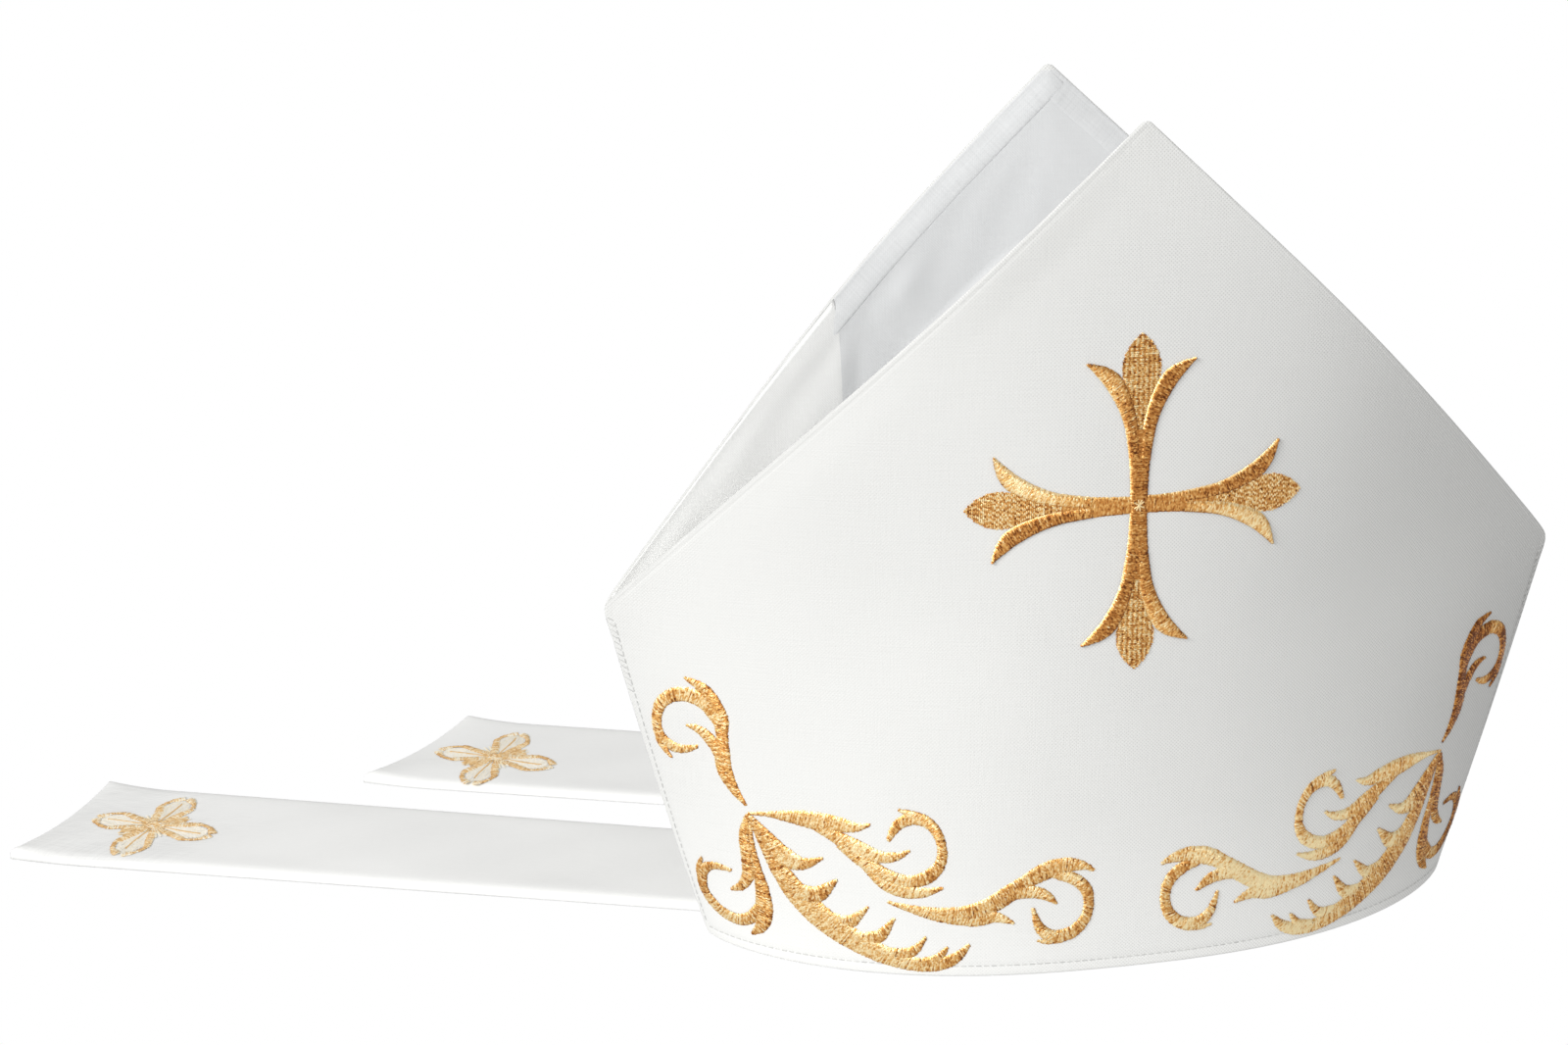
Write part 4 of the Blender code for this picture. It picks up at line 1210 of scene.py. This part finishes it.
def lappet_cross_runs():
    """Four arms, with dense filling in two of the corners between them and rays in the others."""
    runs = []
    for quarter in range(4):
        runs += lappet_arm(quarter)
        if quarter % 2 == 0:
            high, tone = np.linspace(0.55, 0.25, 6), np.linspace(0.6, 0.95, 6)
            for angle in np.radians((22, 33, 44, 55, 66)):
                line = ray(angle, 3.0, RANDOM.uniform(9.5, 11.5), 6)
                runs.append((turned(line, quarter), high, 1.0, tone))
        else:
            for angle in np.radians(np.arange(20, 71, 2.2)):
                length = RANDOM.uniform(11.0, 15.0) - 4.0 * abs(math.degrees(angle) - 45) / 25
                line = ray(angle, 2.0, length, 8)
                line += RANDOM.normal(0, 0.16, line.shape)
                high = 0.32 + RANDOM.normal(0, 0.06, 8)
                tone = np.clip(RANDOM.normal(0.45, 0.25, 8), 0, 1)
                runs.append((turned(line, quarter), high, 0.8, tone))
    # A disc of stitches covers the centre
    for y in np.arange(-2.6, 2.7, 0.45):
        reach = math.sqrt(9 - y * y)
        shade = RANDOM.normal(0.55, 0.15)
        runs.append(satin(np.array([-reach, y]), np.array([reach, y]), 0.3, 0.3, shade))
    return runs


for name in LAPPETS:
    made = thread_object(f"lappet_cross_{name}_stitches", lappet_cross_runs(), on_lappet(name), PALE_GOLD)
    piece(made, "gold_thread", "lappet_cross_" + name)

# ---- plain stitching

HEM_PITCH = 2.5
HEM_STITCH = 1.7
CORNER_PITCH = 2.1
SEWING_WIDTH = 0.38


def sewn(a, b, lift):
    """One short stitch, highest at its middle."""
    share = np.linspace(0, 1, 4)
    line = np.array(a) + (np.array(b) - np.array(a)) * share[:, None]
    return line, lift + 0.10 * np.sin(np.pi * share), SEWING_WIDTH, np.full(4, RANDOM.uniform(0.2, 0.8))


def running_stitches(side):
    """Top-stitching along the rim and beside the seams, and small overcast stitches at the corners."""
    seam = WALLS[side].seam
    hem, inset = HEM_LINE[1], SEAM_LINE[1]
    last = seam(hem) - hem
    runs = [sewn((x, hem), (x + HEM_STITCH, hem), -0.02) for x in np.arange(-last, last, HEM_PITCH)]
    for z in np.arange(6, CORNER_HEIGHT - 5, HEM_PITCH):
        top = z + HEM_STITCH
        for way in (-1, 1):
            runs.append(sewn((way * (seam(z) - inset), z), (way * (seam(top) - inset), top), -0.02))
    for z in np.arange(CORNER_HEIGHT - 30, CORNER_HEIGHT - 3, CORNER_PITCH):
        for way in (-1, 1):
            runs.append(sewn((way * (seam(z) - 2.6), z), (way * (seam(z) - 0.9), z + 0.8), 0.05))
    return runs


for side in OUTWARD:
    made = thread_object(side + "_hem_stitches", running_stitches(side), on_panel(side), STITCH)
    piece(made, "white_cloth")

# ---- floor, light and camera

WORLD_LEVEL = 0.26
WORLD_TOP = 0.44
LIT_SPOT = (0, 0, 0.12)


def floor_object(name, corners, height, level):
    """A flat face that shines evenly."""
    black, white = (0, 0, 0, 1), (1, 1, 1, 1)
    material, _, _ = new_material(
        name, Base_Color=black, Specular_IOR_Level=0, Emission_Color=white, Emission_Strength=level
    )
    mesh = bpy.data.meshes.new(name)
    mesh.from_pydata([(x, y, height) for x, y in corners], [], [list(range(len(corners)))])
    mesh.materials.append(material)
    return link_object(name, mesh)


floor = floor_object("studio_floor", [(-8, -8), (8, -8), (8, 8), (-8, 8)], -0.0004, 1.0)
floor.visible_diffuse = False
# The light that a white floor throws back on what stands close to it
turn = np.linspace(0, 2 * math.pi, 48, endpoint=False)
around_rim = np.stack([0.21 * np.cos(turn), 0.13 * np.sin(turn)], axis=1).tolist()
glow = floor_object("floor_glow", around_rim, -0.0002, 0.66)
strip = [on_floor(along, across) * MM for along, across in ((60, -42), (400, -42), (400, 118), (60, 118))]
lappet_glow = floor_object("lappet_glow", [tuple(corner) for corner in strip], -0.0003, 0.6)
for made in (glow, lappet_glow):
    made.visible_camera = False


def area_light(name, place, size, energy):
    light = bpy.data.lights.new(name, "AREA")
    light.shape = "DISK"
    light.size = size
    light.energy = energy
    made = link_object(name, light)
    made.location = place
    made.rotation_euler = (Vector(LIT_SPOT) - Vector(place)).to_track_quat("-Z", "Y").to_euler()


def studio_world():
    """Even white light that is brighter from above."""
    world = bpy.data.worlds.new("studio")
    world.use_nodes = True
    n = Nodes(world.node_tree)
    toward = n.add("SeparateXYZ")
    n.link(n.add("TexCoord").outputs["Generated"], toward.inputs[0])
    level = n.math("MULTIPLY_ADD", n.math("MAXIMUM", toward.outputs[2]), WORLD_TOP, WORLD_LEVEL)
    background = world.node_tree.nodes["Background"]
    set_inputs(background, Color=(1, 1, 1, 1))
    n.link(level, background.inputs["Strength"])
    bpy.context.scene.world = world


area_light("key", (-2.2, -1.25, 1.55), 1.2, 47)
area_light("fill", (-1.3, -2.2, 1.1), 1.2, 29)
studio_world()
bpy.context.scene.view_settings.view_transform = "Standard"

# The camera as fitted to the photo
YAW, PITCH, ROLL = math.radians(9.679), math.radians(19.379), math.radians(-0.863)
CAMERA_PLACE = (-0.2310, -0.7543, 0.4139)
FOCAL_PIXELS = 2573.6
PHOTO_WIDTH = 1600
SENSOR = 36
right = Vector((math.cos(YAW), -math.sin(YAW), 0))
ahead = Vector((math.sin(YAW) * math.cos(PITCH), math.cos(YAW) * math.cos(PITCH), -math.sin(PITCH)))
up = right.cross(ahead)
right, up = right * math.cos(ROLL) + up * math.sin(ROLL), up * math.cos(ROLL) - right * math.sin(ROLL)
lens = bpy.data.cameras.new("photo_camera")
lens.sensor_width = SENSOR
lens.lens = FOCAL_PIXELS / PHOTO_WIDTH * SENSOR
camera = link_object("photo_camera", lens)
aim = Matrix([(right[i], up[i], -ahead[i]) for i in range(3)]).to_4x4()
camera.matrix_world = Matrix.Translation(CAMERA_PLACE) @ aim
bpy.context.scene.camera = camera
